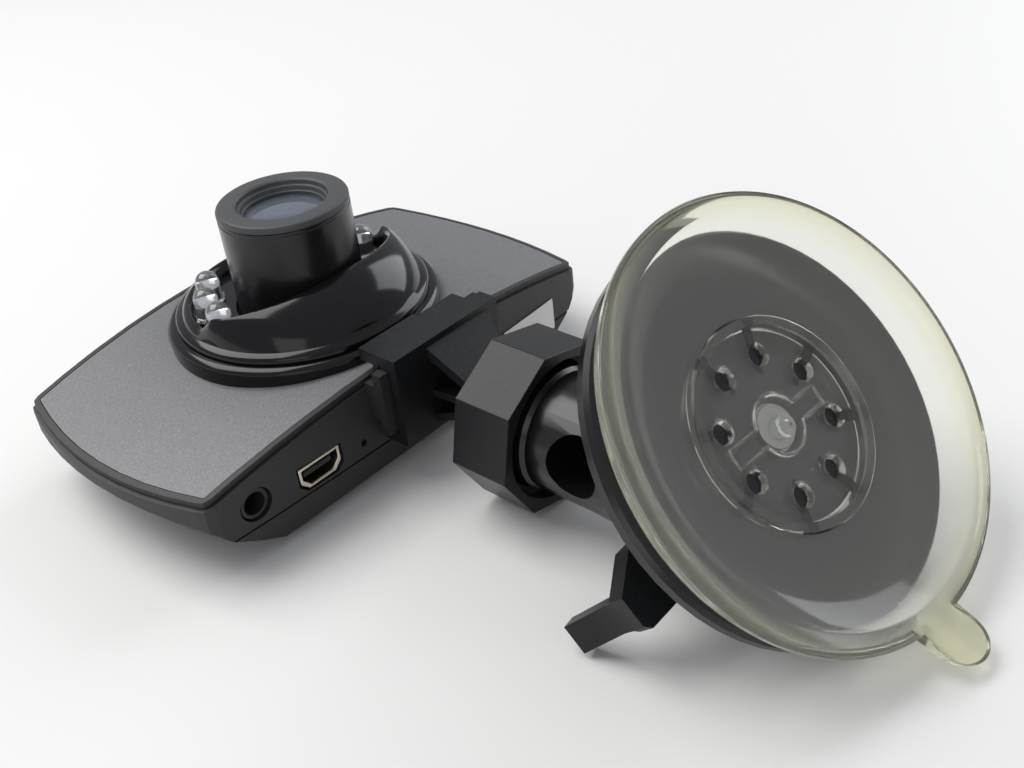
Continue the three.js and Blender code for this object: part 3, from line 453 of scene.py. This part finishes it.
ring_low, ring_high = metres("lens_base_ring")
cowl_low, cowl_high = metres("lens_cowl")
tube_low, tube_high = metres("lens_tube")
top_low, top_high = metres("lens_front_ring")
LENS = np.array([*((tube_low + tube_high)[:2] / 2), 0.0])
RING_R = (ring_high - ring_low)[0] / 2 / MM
RING_TOP = ring_high[2] / MM
RING_FOOT = 15.0
COWL_R = (cowl_high - cowl_low)[0] / 2 / MM
COWL_WALL = COWL_R - 1.2
COWL_TOP = cowl_high[2] / MM
TUBE_R = (tube_high - tube_low)[0] / 2 / MM
TUBE_TOP = tube_high[2] / MM
FACE_TOP = top_high[2] / MM

turned_piece("base_ring", [
    (COWL_WALL + 0.3, RING_FOOT), (RING_R, RING_FOOT), (RING_R, RING_TOP - 0.9),
    (RING_R - 0.25, RING_TOP - 0.45),
    (RING_R - 0.75, RING_TOP - 0.12), (RING_R - 1.3, RING_TOP), (COWL_WALL + 0.3, RING_TOP),
], LENS, gloss_black, "camera", 0.12 * MM, ["lens_base_ring"])


def cowl_section(angle):
    """Section of the cowl at each angle about the lens, as arrays of radius and height in millimetres.
    From the well's floor it climbs the inner wall to the eyebrow's ridge, falls along a rounded outer
    wall to the flange and ends under it. The ridge is an oval on the mount side and a low rim elsewhere."""
    s = -np.sin(angle)
    c = np.cos(angle)
    ease = np.clip((s + 0.16) / 0.24, 0, 1)
    brow = ease * ease * (3 - 2 * ease)
    oval_x, oval_y = 17.8, 11.3
    oval = oval_x * oval_y / np.sqrt((oval_y * c) ** 2 + (oval_x * s) ** 2)
    ridge_r = np.where(s > 0, oval, oval_x)
    ridge_r = ridge_r * brow + 18.1 * (1 - brow)
    lift = np.clip(s, 0, 1) ** 0.8
    ridge_z = (COWL_TOP - 3.0 + 2.9 * lift) * brow + 23.0 * (1 - brow)
    sections = []
    sections.append((TUBE_R + 0.5 + 0 * c, 21.0 + 0 * c))
    floor_r = np.maximum(ridge_r - 1.3, TUBE_R + 0.9)
    sections.append((floor_r, 21.0 + 0 * c))
    sections.append((floor_r + 0.1, 21.4 + 0 * c))
    wall_top = np.maximum(ridge_z - 0.9, 21.9)
    sections.append((np.maximum(ridge_r - 0.85, TUBE_R + 1.0), wall_top))
    sections.append((ridge_r - 0.30, ridge_z - 0.10))
    sections.append((ridge_r, ridge_z))
    steps = 16
    foot_z = 21.85
    for k in range(1, steps + 1):
        a = (math.pi / 2) * k / steps
        round_out, round_down = math.sin(a), 1 - math.cos(a)
        out = 0.45 * k / steps + 0.55 * round_out
        down = 0.45 * k / steps + 0.55 * round_down
        sections.append((ridge_r + (COWL_WALL - ridge_r) * out, ridge_z + (foot_z - ridge_z) * down))
    sections.append((COWL_R - 0.35 + 0 * c, 21.6 + 0 * c))
    sections.append((COWL_R + 0 * c, 21.25 + 0 * c))
    sections.append((COWL_R + 0 * c, RING_TOP + 0.15 + 0 * c))
    sections.append((TUBE_R + 0.5 + 0 * c, RING_TOP + 0.15 + 0 * c))
    return np.array([r for r, _ in sections]).T, np.array([z for _, z in sections]).T


COWL_SIDES = 360
cowl_angle = np.arange(COWL_SIDES) * (2 * math.pi / COWL_SIDES)
cowl_r, cowl_z = cowl_section(cowl_angle)
cowl_points = np.stack([
    cowl_r * np.cos(cowl_angle)[:, None], cowl_r * np.sin(cowl_angle)[:, None], cowl_z,
], -1)
cowl_rows = cowl_r.shape[1]
cowl_faces = ring_faces(COWL_SIDES, cowl_rows, True)[:, ::-1].tolist()
cowl = surface("cowl", cowl_points.reshape(-1, 3) * MM + LENS, cowl_faces, gloss_black,
               "camera", ["lens_cowl"])
finished(cowl, 0, angle=50.0)

turned_piece("barrel", [
    (TUBE_R - 2.8, 16.0), (TUBE_R, 16.0), (TUBE_R, TUBE_TOP - 0.5), (TUBE_R - 0.12, TUBE_TOP - 0.42),
    (TUBE_R - 0.12, TUBE_TOP), (TUBE_R - 2.8, TUBE_TOP),
], LENS, barrel_black, "camera", 0.05 * MM, ["lens_tube"])
turned_piece("face_ring", [
    (6.3, TUBE_TOP - 1.2), (TUBE_R - 0.2, TUBE_TOP + 0.05), (TUBE_R, TUBE_TOP + 0.15),
    (TUBE_R, FACE_TOP - 0.55),
    (TUBE_R - 0.16, FACE_TOP - 0.2), (TUBE_R - 0.5, FACE_TOP), (7.5, FACE_TOP), (7.15, FACE_TOP - 0.25),
    (7.0, FACE_TOP - 0.9), (6.7, FACE_TOP - 1.0), (6.5, FACE_TOP - 1.7), (6.3, FACE_TOP - 1.8),
], LENS, ring_grey, "camera", 0.06 * MM, ["lens_front_ring"])

# ------------------------------------------------------------------ lens glasses and cell
# A coated front glass sits under the face ring, and a smaller one lies deeper in a black cell with
# a stepped, ribbed inside that keeps stray light down. Both glasses are ground and polished.


def coated_glass(name, color, roughness=0.02):
    """Optical glass with a coating: tinted, clear, and with faint smears in its polish."""
    material = bpy.data.materials.new(name)
    material.use_nodes = True
    nodes, links = material.node_tree.nodes, material.node_tree.links
    shader = nodes["Principled BSDF"]
    shader.inputs["Transmission Weight"].default_value = 0.9
    shader.inputs["IOR"].default_value = 1.52
    shader.inputs["Coat Weight"].default_value = 0.5
    grain = nodes.new("ShaderNodeGroup")
    grain.node_tree = GRAIN
    grain.inputs["Size"].default_value = 400.0
    grain.inputs["Clouds"].default_value = 220.0
    smear = nodes.new("ShaderNodeMapRange")
    smear.inputs["To Min"].default_value = roughness
    smear.inputs["To Max"].default_value = roughness + 0.05
    tone = nodes.new("ShaderNodeMix")
    tone.data_type = "RGBA"
    tone.inputs["A"].default_value = (*color, 1)
    tone.inputs["B"].default_value = (*[min(1, c * 1.08) for c in color], 1)
    links.new(grain.outputs["Tone"], smear.inputs["Value"])
    links.new(smear.outputs["Result"], shader.inputs["Roughness"])
    links.new(grain.outputs["Tone"], tone.inputs["Factor"])
    links.new(tone.outputs["Result"], shader.inputs["Base Color"])
    return material


lens_glass = coated_glass("lens_glass", (0.62, 0.70, 0.86))
cell_black = moulded_plastic("cell_black", (0.020, 0.020, 0.022), 0.45, size=5000.0, depth=0.4, dust=0.0)


def dome_profile(radius, edge_low, edge_high, bulge, steps=18):
    """A lens: flat back, straight rim, and a front that is a part of a sphere rising by bulge."""
    r = np.linspace(radius, 0, steps)
    sphere = (radius * radius + bulge * bulge) / (2 * bulge)
    front = edge_high + np.sqrt(sphere ** 2 - r ** 2) - (sphere - bulge)
    return [(0, edge_low), (radius, edge_low)] + list(zip(r, front))


turned_piece("glass_front", dome_profile(6.45, TUBE_TOP - 1.9, TUBE_TOP - 1.1, 0.75),
             LENS, lens_glass, "camera", 0, ["front_glass"])
turned_piece("glass_rear", dome_profile(4.4, 24.2, 25.6, 1.4),
             LENS, lens_glass, "camera", 0, ["rear_lens"])


def cell_profile():
    """The cell's wall, with square ribs down its inside from the front glass to the rear one."""
    profile = [(4.6, 18.2), (TUBE_R - 2.95, 18.2), (TUBE_R - 2.95, TUBE_TOP - 2.1), (6.2, TUBE_TOP - 2.1)]
    ribs = 6
    for k in range(ribs):
        z = TUBE_TOP - 2.6 - 1.1 * k
        r = 6.0 - 0.2 * k
        profile += [(r, z), (r, z - 0.5), (r - 0.35, z - 0.5), (r - 0.35, z - 1.0)]
    profile += [(4.6, 27.0)]
    return profile


turned_piece("cell", cell_profile(), LENS, cell_black, "camera", 0, ["lens_cell"])
dress("lens_holder", cell_black)

# ------------------------------------------------------------------ infrared lamps
# Six clear domed lamps stand in the cowl's well, three at each end. Each is cast resin round a
# bright cup that holds the chip, so it glitters white.
LAMP_NODES = [f"ir_led_{i}" for i in range(1, 7)]
lamp_clear = coated_glass("lamp_clear", (0.96, 0.97, 0.99), 0.01)


def bright_metal(name, color, roughness, size=3000.0, metallic=1.0):
    """Bright plated metal: a fine grain and patches of slightly duller plating."""
    material = moulded_plastic(
        name, color, roughness, size=size, depth=0.12, dust=0.0, lighter=1.12, spread=0.08,
    )
    material.node_tree.nodes["Principled BSDF"].inputs["Metallic"].default_value = metallic
    return material


lamp_cup_metal = bright_metal("lamp_cup_metal", (0.86, 0.87, 0.88), 0.18)
for node in LAMP_NODES:
    low, high = metres(node)
    centre = ((low[0] + high[0]) / 2, (low[1] + high[1]) / 2, 0)
    foot, tip = low[2] / MM, high[2] / MM
    radius = 1.95
    shoulder = tip - radius
    arc = [(radius * math.cos(a), shoulder + radius * math.sin(a)) for a in np.linspace(0, math.pi / 2, 14)]
    arc[-1] = (0, tip)
    dome_profile = [(0, foot), (radius + 0.25, foot), (radius + 0.25, foot + 0.6), (radius, foot + 0.7)] + arc
    turned_piece(f"{node}_dome", dome_profile, centre, lamp_clear, "camera", 0, [node], sides=40)
    turned_piece(f"{node}_cup", [
        (0, foot + 0.9), (0.5, foot + 0.9), (1.45, foot + 2.6), (1.6, foot + 2.6), (1.6, foot + 0.4), (0, foot + 0.4),
    ], centre, lamp_cup_metal, "camera", 0, sides=32)

# ------------------------------------------------------------------ sockets, screws and insides
# The sockets are plated steel shells and black mouldings on a green glass-fibre board. What lies
# inside the housings is made plainly, since only the sockets and slots let it be seen.
plated = bright_metal("plated_shell", (0.66, 0.61, 0.50), 0.24)
steel = bright_metal("zinc_steel", (0.52, 0.52, 0.53), 0.32)
foil = bright_metal("foil_wrap", (0.60, 0.61, 0.62), 0.38, size=700.0)
chip_black = moulded_plastic("chip_black", (0.016, 0.016, 0.017), 0.5, size=5200.0, depth=0.5, dust=0.0)
board_green = moulded_plastic(
    "board_green", (0.012, 0.075, 0.035), 0.35, size=1400.0, depth=0.2, dust=0.0, lighter=1.6,
)
rounded_copy("usb_shell", "camera", plated, 0.12 * MM)
rounded_copy("av_jack", "camera", chip_black, 0.10 * MM)
for node in ["card_socket", "microphone"]:
    dress(node, plated)
for node in [f"housing_screw_{i}" for i in range(1, 5)]:
    rounded_copy(node, "camera", steel, 0.06 * MM)
for node in ["lcd_panel", "battery"]:
    dress(node, foil)
for node in ["processor", "flash_memory", "speaker", "image_sensor", "usb_tongue"]:
    dress(node, chip_black)
for node in ["main_board", "key_board_left", "key_board_right"]:
    dress(node, board_green)

# ------------------------------------------------------------------ screen window and keys
# The screen's window is one polished sheet, printed black round the picture area, flush with the
# rear housing. Three soft-edged keys stand in holes at each end of it and click against the boards.


def window_material():
    """Polished window: the picture area, a rectangle of dark blue grey, inside black print."""
    material = bpy.data.materials.new("screen_window")
    material.use_nodes = True
    nodes, links = material.node_tree.nodes, material.node_tree.links
    shader = nodes["Principled BSDF"]
    shader.inputs["Coat Weight"].default_value = 0.6
    place = nodes.new("ShaderNodeTexCoord")
    split = nodes.new("ShaderNodeSeparateXYZ")
    links.new(place.outputs["Object"], split.inputs["Vector"])
    inside = None
    for axis, half in (("X", 22.0 * MM), ("Y", 16.4 * MM)):
        size = nodes.new("ShaderNodeMath")
        size.operation = "ABSOLUTE"
        within = nodes.new("ShaderNodeMapRange")
        within.inputs["From Min"].default_value = half + 0.1 * MM
        within.inputs["From Max"].default_value = half
        links.new(split.outputs[axis], size.inputs[0])
        links.new(size.outputs["Value"], within.inputs["Value"])
        if inside is None:
            inside = within.outputs["Result"]
        else:
            both = nodes.new("ShaderNodeMath")
            both.operation = "MULTIPLY"
            links.new(inside, both.inputs[0])
            links.new(within.outputs["Result"], both.inputs[1])
            inside = both.outputs["Value"]
    tone = nodes.new("ShaderNodeMix")
    tone.data_type = "RGBA"
    tone.inputs["A"].default_value = (0.006, 0.006, 0.007, 1)
    tone.inputs["B"].default_value = (0.020, 0.023, 0.030, 1)
    grain = nodes.new("ShaderNodeGroup")
    grain.node_tree = GRAIN
    grain.inputs["Clouds"].default_value = 40.0
    smear = nodes.new("ShaderNodeMapRange")
    smear.inputs["To Min"].default_value = 0.05
    smear.inputs["To Max"].default_value = 0.16
    links.new(inside, tone.inputs["Factor"])
    links.new(tone.outputs["Result"], shader.inputs["Base Color"])
    links.new(grain.outputs["Tone"], smear.inputs["Value"])
    links.new(smear.outputs["Result"], shader.inputs["Roughness"])
    return material


rounded_copy("lcd_window", "camera", window_material(), 0.12 * MM)
key_grey = moulded_plastic("key_grey", (0.055, 0.057, 0.060), 0.42, size=3600.0, depth=0.3, dust=0.05)
for i in range(1, 7):
    rounded_copy(f"key_{i}", f"key_{i}_body", key_grey, 0.3 * MM)

# ------------------------------------------------------------------ slide bracket and ball
# One moulding slides on the housing's rail: a C-shaped shoe, a ribbed neck and a stud. The ball is
# pressed on the stud. Both are semi-gloss black plastic with rounded ribs.
mount_black = moulded_plastic("mount_black", (0.010, 0.0105, 0.0115), 0.34, size=2400.0, depth=0.12,
                              dust=0.08, spread=0.06, shine=0.3)
rounded_copy("slide_bracket", "bracket", mount_black, 0.3 * MM)
joint_at = {joint["name"]: joint for joint in frame["joints"]}
BALL_CENTRE = np.array(joint_at["ball_tilt"]["pos_m"])
BALL_R = (metres("ball")[1] - metres("ball")[0])[2] / 2


def ball_points(radius, rows, sides):
    """A sphere: latitude a and longitude t give (r cos a cos t, r sin a, r cos a sin t), poles left out."""
    a = np.linspace(-math.pi / 2, math.pi / 2, rows + 2)[1:-1]
    t = np.arange(sides) * (2 * math.pi / sides)
    x = np.outer(np.cos(t), np.cos(a))
    z = np.outer(np.sin(t), np.cos(a))
    y = np.broadcast_to(np.sin(a), (sides, rows))
    return np.stack([x, y, z], -1).reshape(-1, 3) * radius


BALL_ROWS, BALL_SIDES = 40, 64
ball_mesh_points = ball_points(BALL_R, BALL_ROWS, BALL_SIDES) + BALL_CENTRE
ball_poles = BALL_CENTRE + np.array([(0, -BALL_R, 0), (0, BALL_R, 0)])
ball_faces = ring_faces(BALL_SIDES, BALL_ROWS, False)[:, ::-1].tolist()
ball_turn = np.arange(BALL_SIDES)
ball_next = (ball_turn + 1) % BALL_SIDES
ball_low, ball_high = BALL_ROWS * BALL_SIDES, BALL_ROWS * BALL_SIDES + 1
ball_faces += np.stack([
    np.full(BALL_SIDES, ball_low), ball_turn * BALL_ROWS, ball_next * BALL_ROWS,
], -1).tolist()
ball_faces += np.stack([
    np.full(BALL_SIDES, ball_high), ball_next * BALL_ROWS + BALL_ROWS - 1,
    ball_turn * BALL_ROWS + BALL_ROWS - 1,
], -1).tolist()
ball = surface("joint_ball", np.vstack([ball_mesh_points, ball_poles]), ball_faces, mount_black,
               "ball_body", ["ball"])
finished(ball, 0)
rounded_copy("ball_seat", "seat", mount_black, 0.1 * MM)

# ------------------------------------------------------------------ lock nut
# An eight-sided moulded nut screws over the arm's socket and clamps the ball. Its corners are
# rounded, its end edges chamfered, and a shallow groove runs along the middle of each corner.
rounded_copy("lock_nut", "nut", mount_black, 0.7 * MM, angle=30.0)

# ------------------------------------------------------------------ arm, hub and black disc
# One glossy black moulding: a round arm with a round side hole, and the stiff disc that backs the
# clear cup. The lock lever turns against the disc's hub.
arm_black = moulded_plastic("arm_black", (0.006, 0.0062, 0.0066), 0.22, size=1100.0, depth=0.015,
                            dust=0.02, spread=0.04)
rounded_copy("cup_housing", "cup_arm", arm_black, 0.25 * MM)

# ------------------------------------------------------------------ clear suction cup
# The cup is cast in clear, faintly yellow soft plastic: a thick flat sealing rim, a thin bowl that
# follows the disc, and a thin round tab that breaks the seal.
CUP_AXIS = np.array(joint_at["stem_pull"]["axis"])
CUP_ACROSS = -np.array(joint_at["lever_turn"]["axis"])
CUP_SIDE = np.cross(CUP_ACROSS, CUP_AXIS)
PIN_DEPTH = 16.4 * MM
CUP_CENTRE = np.array(joint_at["lever_turn"]["pos_m"]) + CUP_AXIS * PIN_DEPTH
CUP_R = 29.6
TAB_R = 4.0
TAB_OUT = 2.4
TAB_LEAN = math.radians(28.0)
TAB_ANGLE = math.radians(-98.0)
DISH_IN = 14.3


def from_cup(points_mm):
    """Points in the cup's own frame, in millimetres, put in place: across, along its face, and out of it."""
    p = np.asarray(points_mm, float) * MM
    return CUP_CENTRE + p[:, :1] * CUP_SIDE + p[:, 1:2] * CUP_ACROSS + p[:, 2:] * CUP_AXIS


def rim_mask(nodes, links):
    """A mask that is one beyond 27 mm from the cup's axis, by the length of p - centre across it."""
    place = nodes.new("ShaderNodeTexCoord")
    from_centre = nodes.new("ShaderNodeVectorMath")
    from_centre.operation = "SUBTRACT"
    from_centre.inputs[1].default_value = CUP_CENTRE
    across_axis = nodes.new("ShaderNodeVectorMath")
    across_axis.operation = "CROSS_PRODUCT"
    across_axis.inputs[1].default_value = CUP_AXIS
    radius = nodes.new("ShaderNodeVectorMath")
    radius.operation = "LENGTH"
    band = nodes.new("ShaderNodeMapRange")
    band.inputs["From Min"].default_value = 26.6 * MM
    band.inputs["From Max"].default_value = 28.4 * MM
    links.new(place.outputs["Object"], from_centre.inputs[0])
    links.new(from_centre.outputs["Vector"], across_axis.inputs[0])
    links.new(across_axis.outputs["Vector"], radius.inputs[0])
    links.new(radius.outputs["Value"], band.inputs["Value"])
    return band.outputs["Result"]


def clear_plastic(name, color, rim_color, roughness):
    """Clear soft plastic: clean transmission, a bloom of handling marks in its gloss, faint patches of
    lighter tone, a fine bump in its surface and a thicker, yellower rim."""
    material = bpy.data.materials.new(name)
    material.use_nodes = True
    nodes, links = material.node_tree.nodes, material.node_tree.links
    shader = nodes["Principled BSDF"]
    shader.inputs["Transmission Weight"].default_value = 0.95
    shader.inputs["IOR"].default_value = 1.38
    grain = nodes.new("ShaderNodeGroup")
    grain.node_tree = GRAIN
    grain.inputs["Size"].default_value = 900.0
    grain.inputs["Clouds"].default_value = 90.0
    gloss = nodes.new("ShaderNodeMapRange")
    gloss.inputs["To Min"].default_value = roughness
    gloss.inputs["To Max"].default_value = roughness + 0.1
    tone = nodes.new("ShaderNodeMix")
    tone.data_type = "RGBA"
    tone.inputs["A"].default_value = (*color, 1)
    tone.inputs["B"].default_value = (*[min(1, c * 1.03) for c in color], 1)
    edge = nodes.new("ShaderNodeMix")
    edge.data_type = "RGBA"
    edge.inputs["B"].default_value = (*rim_color, 1)
    links.new(rim_mask(nodes, links), edge.inputs["Factor"])
    bump = nodes.new("ShaderNodeBump")
    bump.inputs["Strength"].default_value = 0.02
    bump.inputs["Distance"].default_value = 0.01 * MM
    links.new(grain.outputs["Tone"], gloss.inputs["Value"])
    links.new(gloss.outputs["Result"], shader.inputs["Roughness"])
    links.new(grain.outputs["Tone"], tone.inputs["Factor"])
    links.new(tone.outputs["Result"], edge.inputs["A"])
    links.new(edge.outputs["Result"], shader.inputs["Base Color"])
    links.new(grain.outputs["Height"], bump.inputs["Height"])
    links.new(bump.outputs["Normal"], shader.inputs["Normal"])
    return material


def cup_angles():
    """Turns of the cup's grid: even steps, and finer ones where the tab grows out of the rim."""
    even = np.linspace(0, 2 * math.pi, 241)[:-1] + TAB_ANGLE
    half = math.asin(TAB_R / (CUP_R + TAB_OUT))
    fine = TAB_ANGLE + half * np.sin(np.linspace(-math.pi / 2, math.pi / 2, 61))
    rest = even[(even > TAB_ANGLE + half * 1.05) & (even < TAB_ANGLE + 2 * math.pi - half * 1.05)]
    return np.concatenate([fine, rest])


def cup_surface():
    """The cup's wall: a closed section carried round the axis. Its outermost points move out to the
    far side of the tab's circle, d cos t + sqrt(R^2 - d^2 sin^2 t), where that lies beyond the rim, and
    what lies beyond it leans forward."""
    angle = cup_angles()
    off = angle - TAB_ANGLE
    d = CUP_R + TAB_OUT
    under = TAB_R ** 2 - (d * np.sin(off)) ** 2
    near = np.cos(off) > 0.9
    tab = np.where((under > 0) & near, d * np.cos(off) + np.sqrt(np.maximum(under, 0)), 0)
    edge = np.maximum(CUP_R, tab)
    inner = [(27.0, 0.0), (26.6, -0.35), (25.4, -1.6), (22.0, -3.5), (18.0, -4.35), (DISH_IN, -4.65)]
    outer = [(DISH_IN, -6.2), (18.0, -5.95), (22.0, -5.3), (25.6, -4.1), (28.2, -2.9), (29.2, -2.1)]
    r = [np.full_like(angle, p[0]) for p in inner + outer]
    z = [np.full_like(angle, p[1]) for p in inner + outer]
    for radius, height in ((edge - 0.15, -1.45), (edge, -1.25), (edge, -0.5), (edge - 0.15, -0.3)):
        r.append(radius)
        z.append(np.full_like(angle, height))
    r.append(np.full_like(angle, CUP_R - 0.25))
    z.append(np.full_like(angle, -0.02))
    r, z = np.array(r).T, np.array(z).T
    over = np.maximum(r - (CUP_R - 0.2), 0) * (tab > CUP_R)[:, None]
    z = z + over * math.sin(TAB_LEAN)
    r = r - over * (1 - math.cos(TAB_LEAN))
    points = np.stack([r * np.cos(angle)[:, None], r * np.sin(angle)[:, None], z], -1)
    return points.reshape(-1, 3), ring_faces(len(angle), r.shape[1], True)


cup_clear = clear_plastic("cup_clear", (0.95, 0.955, 0.90), (0.90, 0.89, 0.70), 0.05)
cup_points, cup_faces = cup_surface()
cup = surface("clear_cup", from_cup(cup_points), cup_faces.tolist(), cup_clear, "cup_arm",
              ["suction_cup"])
finished(cup, 0, angle=60.0)

# ------------------------------------------------------------------ clear pull disc and stem
# The cup's middle is a stiffer clear disc that the lever pulls back. It has a raised rim, eight round
# holes, a keyhole-shaped rib and a dome over the steel stem.
PULL_R = 14.0
PULL_FACE = -6.0
PULL_BACK = -6.8
PULL_LIP = 1.6
HOLE_CIRCLE = 9.3
HOLE_R = 1.45
HOLE_PHASE = math.radians(18.0)


def soft_step(x, width):
    """Nought below -width, one above width and smooth between."""
    t = np.clip((x + width) / (2 * width), 0, 1)
    return t * t * (3 - 2 * t)


def keyhole_distance(x, y):
    """Distance to the rib's outline: the union of a circle at the centre and a bar across it."""
    circle = np.hypot(x, y) - 4.0
    ca, sa = math.cos(math.radians(175)), math.sin(math.radians(175))
    along = x * ca + y * sa
    across = -x * sa + y * ca
    bar = np.maximum(np.abs(along - 0.45) - 8.95, np.abs(across) - 1.3)
    return np.minimum(circle, bar)


def pull_heights(x, y):
    """Height of the disc's front face over its plane: a rim, eight sunk holes with raised edges, the
    keyhole's rib and the dome at the centre."""
    r = np.hypot(x, y)
    height = PULL_LIP * soft_step(r - 12.75, 0.12)
    turn = np.arctan2(y, x) - HOLE_PHASE
    step = 2 * math.pi / 8
    near = (np.round(turn / step) * step) + HOLE_PHASE
    hole = np.hypot(x - HOLE_CIRCLE * np.cos(near), y - HOLE_CIRCLE * np.sin(near))
    height = height - 0.7 * soft_step(HOLE_R - hole, 0.12)
    height = height + 0.35 * np.exp(-((hole - HOLE_R - 0.2) / 0.18) ** 2)
    clear_of_holes = soft_step(hole - HOLE_R - 0.3, 0.15)
    height = height + 0.55 * clear_of_holes * np.exp(-(keyhole_distance(x, y) / 0.20) ** 2)
    off = np.hypot(x - 0.6, y + 0.6)
    height = height + 0.6 * soft_step(1.45 - off, 0.2) - 0.3 * soft_step(0.6 - off, 0.15)
    return height


def pull_disc_surface(rows=110, sides=384):
    """A polar grid on the disc's front and the same grid, flat, on its back, joined at the edge."""
    r = np.linspace(0, PULL_R, rows + 1)[1:]
    t = np.arange(sides) * (2 * math.pi / sides)
    x, y = np.outer(np.cos(t), r), np.outer(np.sin(t), r)
    front = np.stack([x, y, PULL_FACE + pull_heights(x, y)], -1)
    back_r = np.array([PULL_R, PULL_R * 0.5])
    bx, by = np.outer(np.cos(t), back_r), np.outer(np.sin(t), back_r)
    back = np.stack([bx, by, np.full_like(bx, PULL_BACK)], -1)
    grid = np.concatenate([front, back], 1)
    total = rows + 2
    faces = ring_faces(sides, total, False)[:, ::-1].tolist()
    middles = [(0, 0, PULL_FACE + pull_heights(0.0, 0.0)), (0, 0, PULL_BACK)]
    points = np.vstack([grid.reshape(-1, 3), middles])
    top, low = len(points) - 2, len(points) - 1
    turn = np.arange(sides)
    after = (turn + 1) % sides
    faces += np.stack([np.full(sides, top), turn * total, after * total], -1).tolist()
    faces += np.stack([np.full(sides, low), after * total + total - 1, turn * total + total - 1], -1).tolist()
    return points, faces


pull_points, pull_faces = pull_disc_surface()
pull = surface("clear_pull_disc", from_cup(pull_points), pull_faces, cup_clear, "stem", ["pull_disc"])
pull.data.materials.append(arm_black)
hole_angle = HOLE_PHASE + np.arange(8) * (math.pi / 4)
face_middle = np.array([np.mean(pull_points[list(face), :2], axis=0) for face in pull_faces])
hole_x, hole_y = HOLE_CIRCLE * np.cos(hole_angle), HOLE_CIRCLE * np.sin(hole_angle)
hole_gap = np.hypot(face_middle[:, :1] - hole_x, face_middle[:, 1:] - hole_y)
pull.data.polygons.foreach_set("material_index", (hole_gap.min(axis=1) < HOLE_R - 0.1).astype(int))
finished(pull, 0, angle=60.0)
rounded_copy("pull_stem", "stem", steel, 0.1 * MM)
rounded_copy("lever_pin", "stem", steel, 0.1 * MM)

# ------------------------------------------------------------------ lock lever
# A black moulded crank beside the arm. Its cam turns on the pin and pulls the stem back, and its bent
# thumb tab stands clear of the disc's edge.
rounded_copy("lever", "lever_body", mount_black, 0.45 * MM)
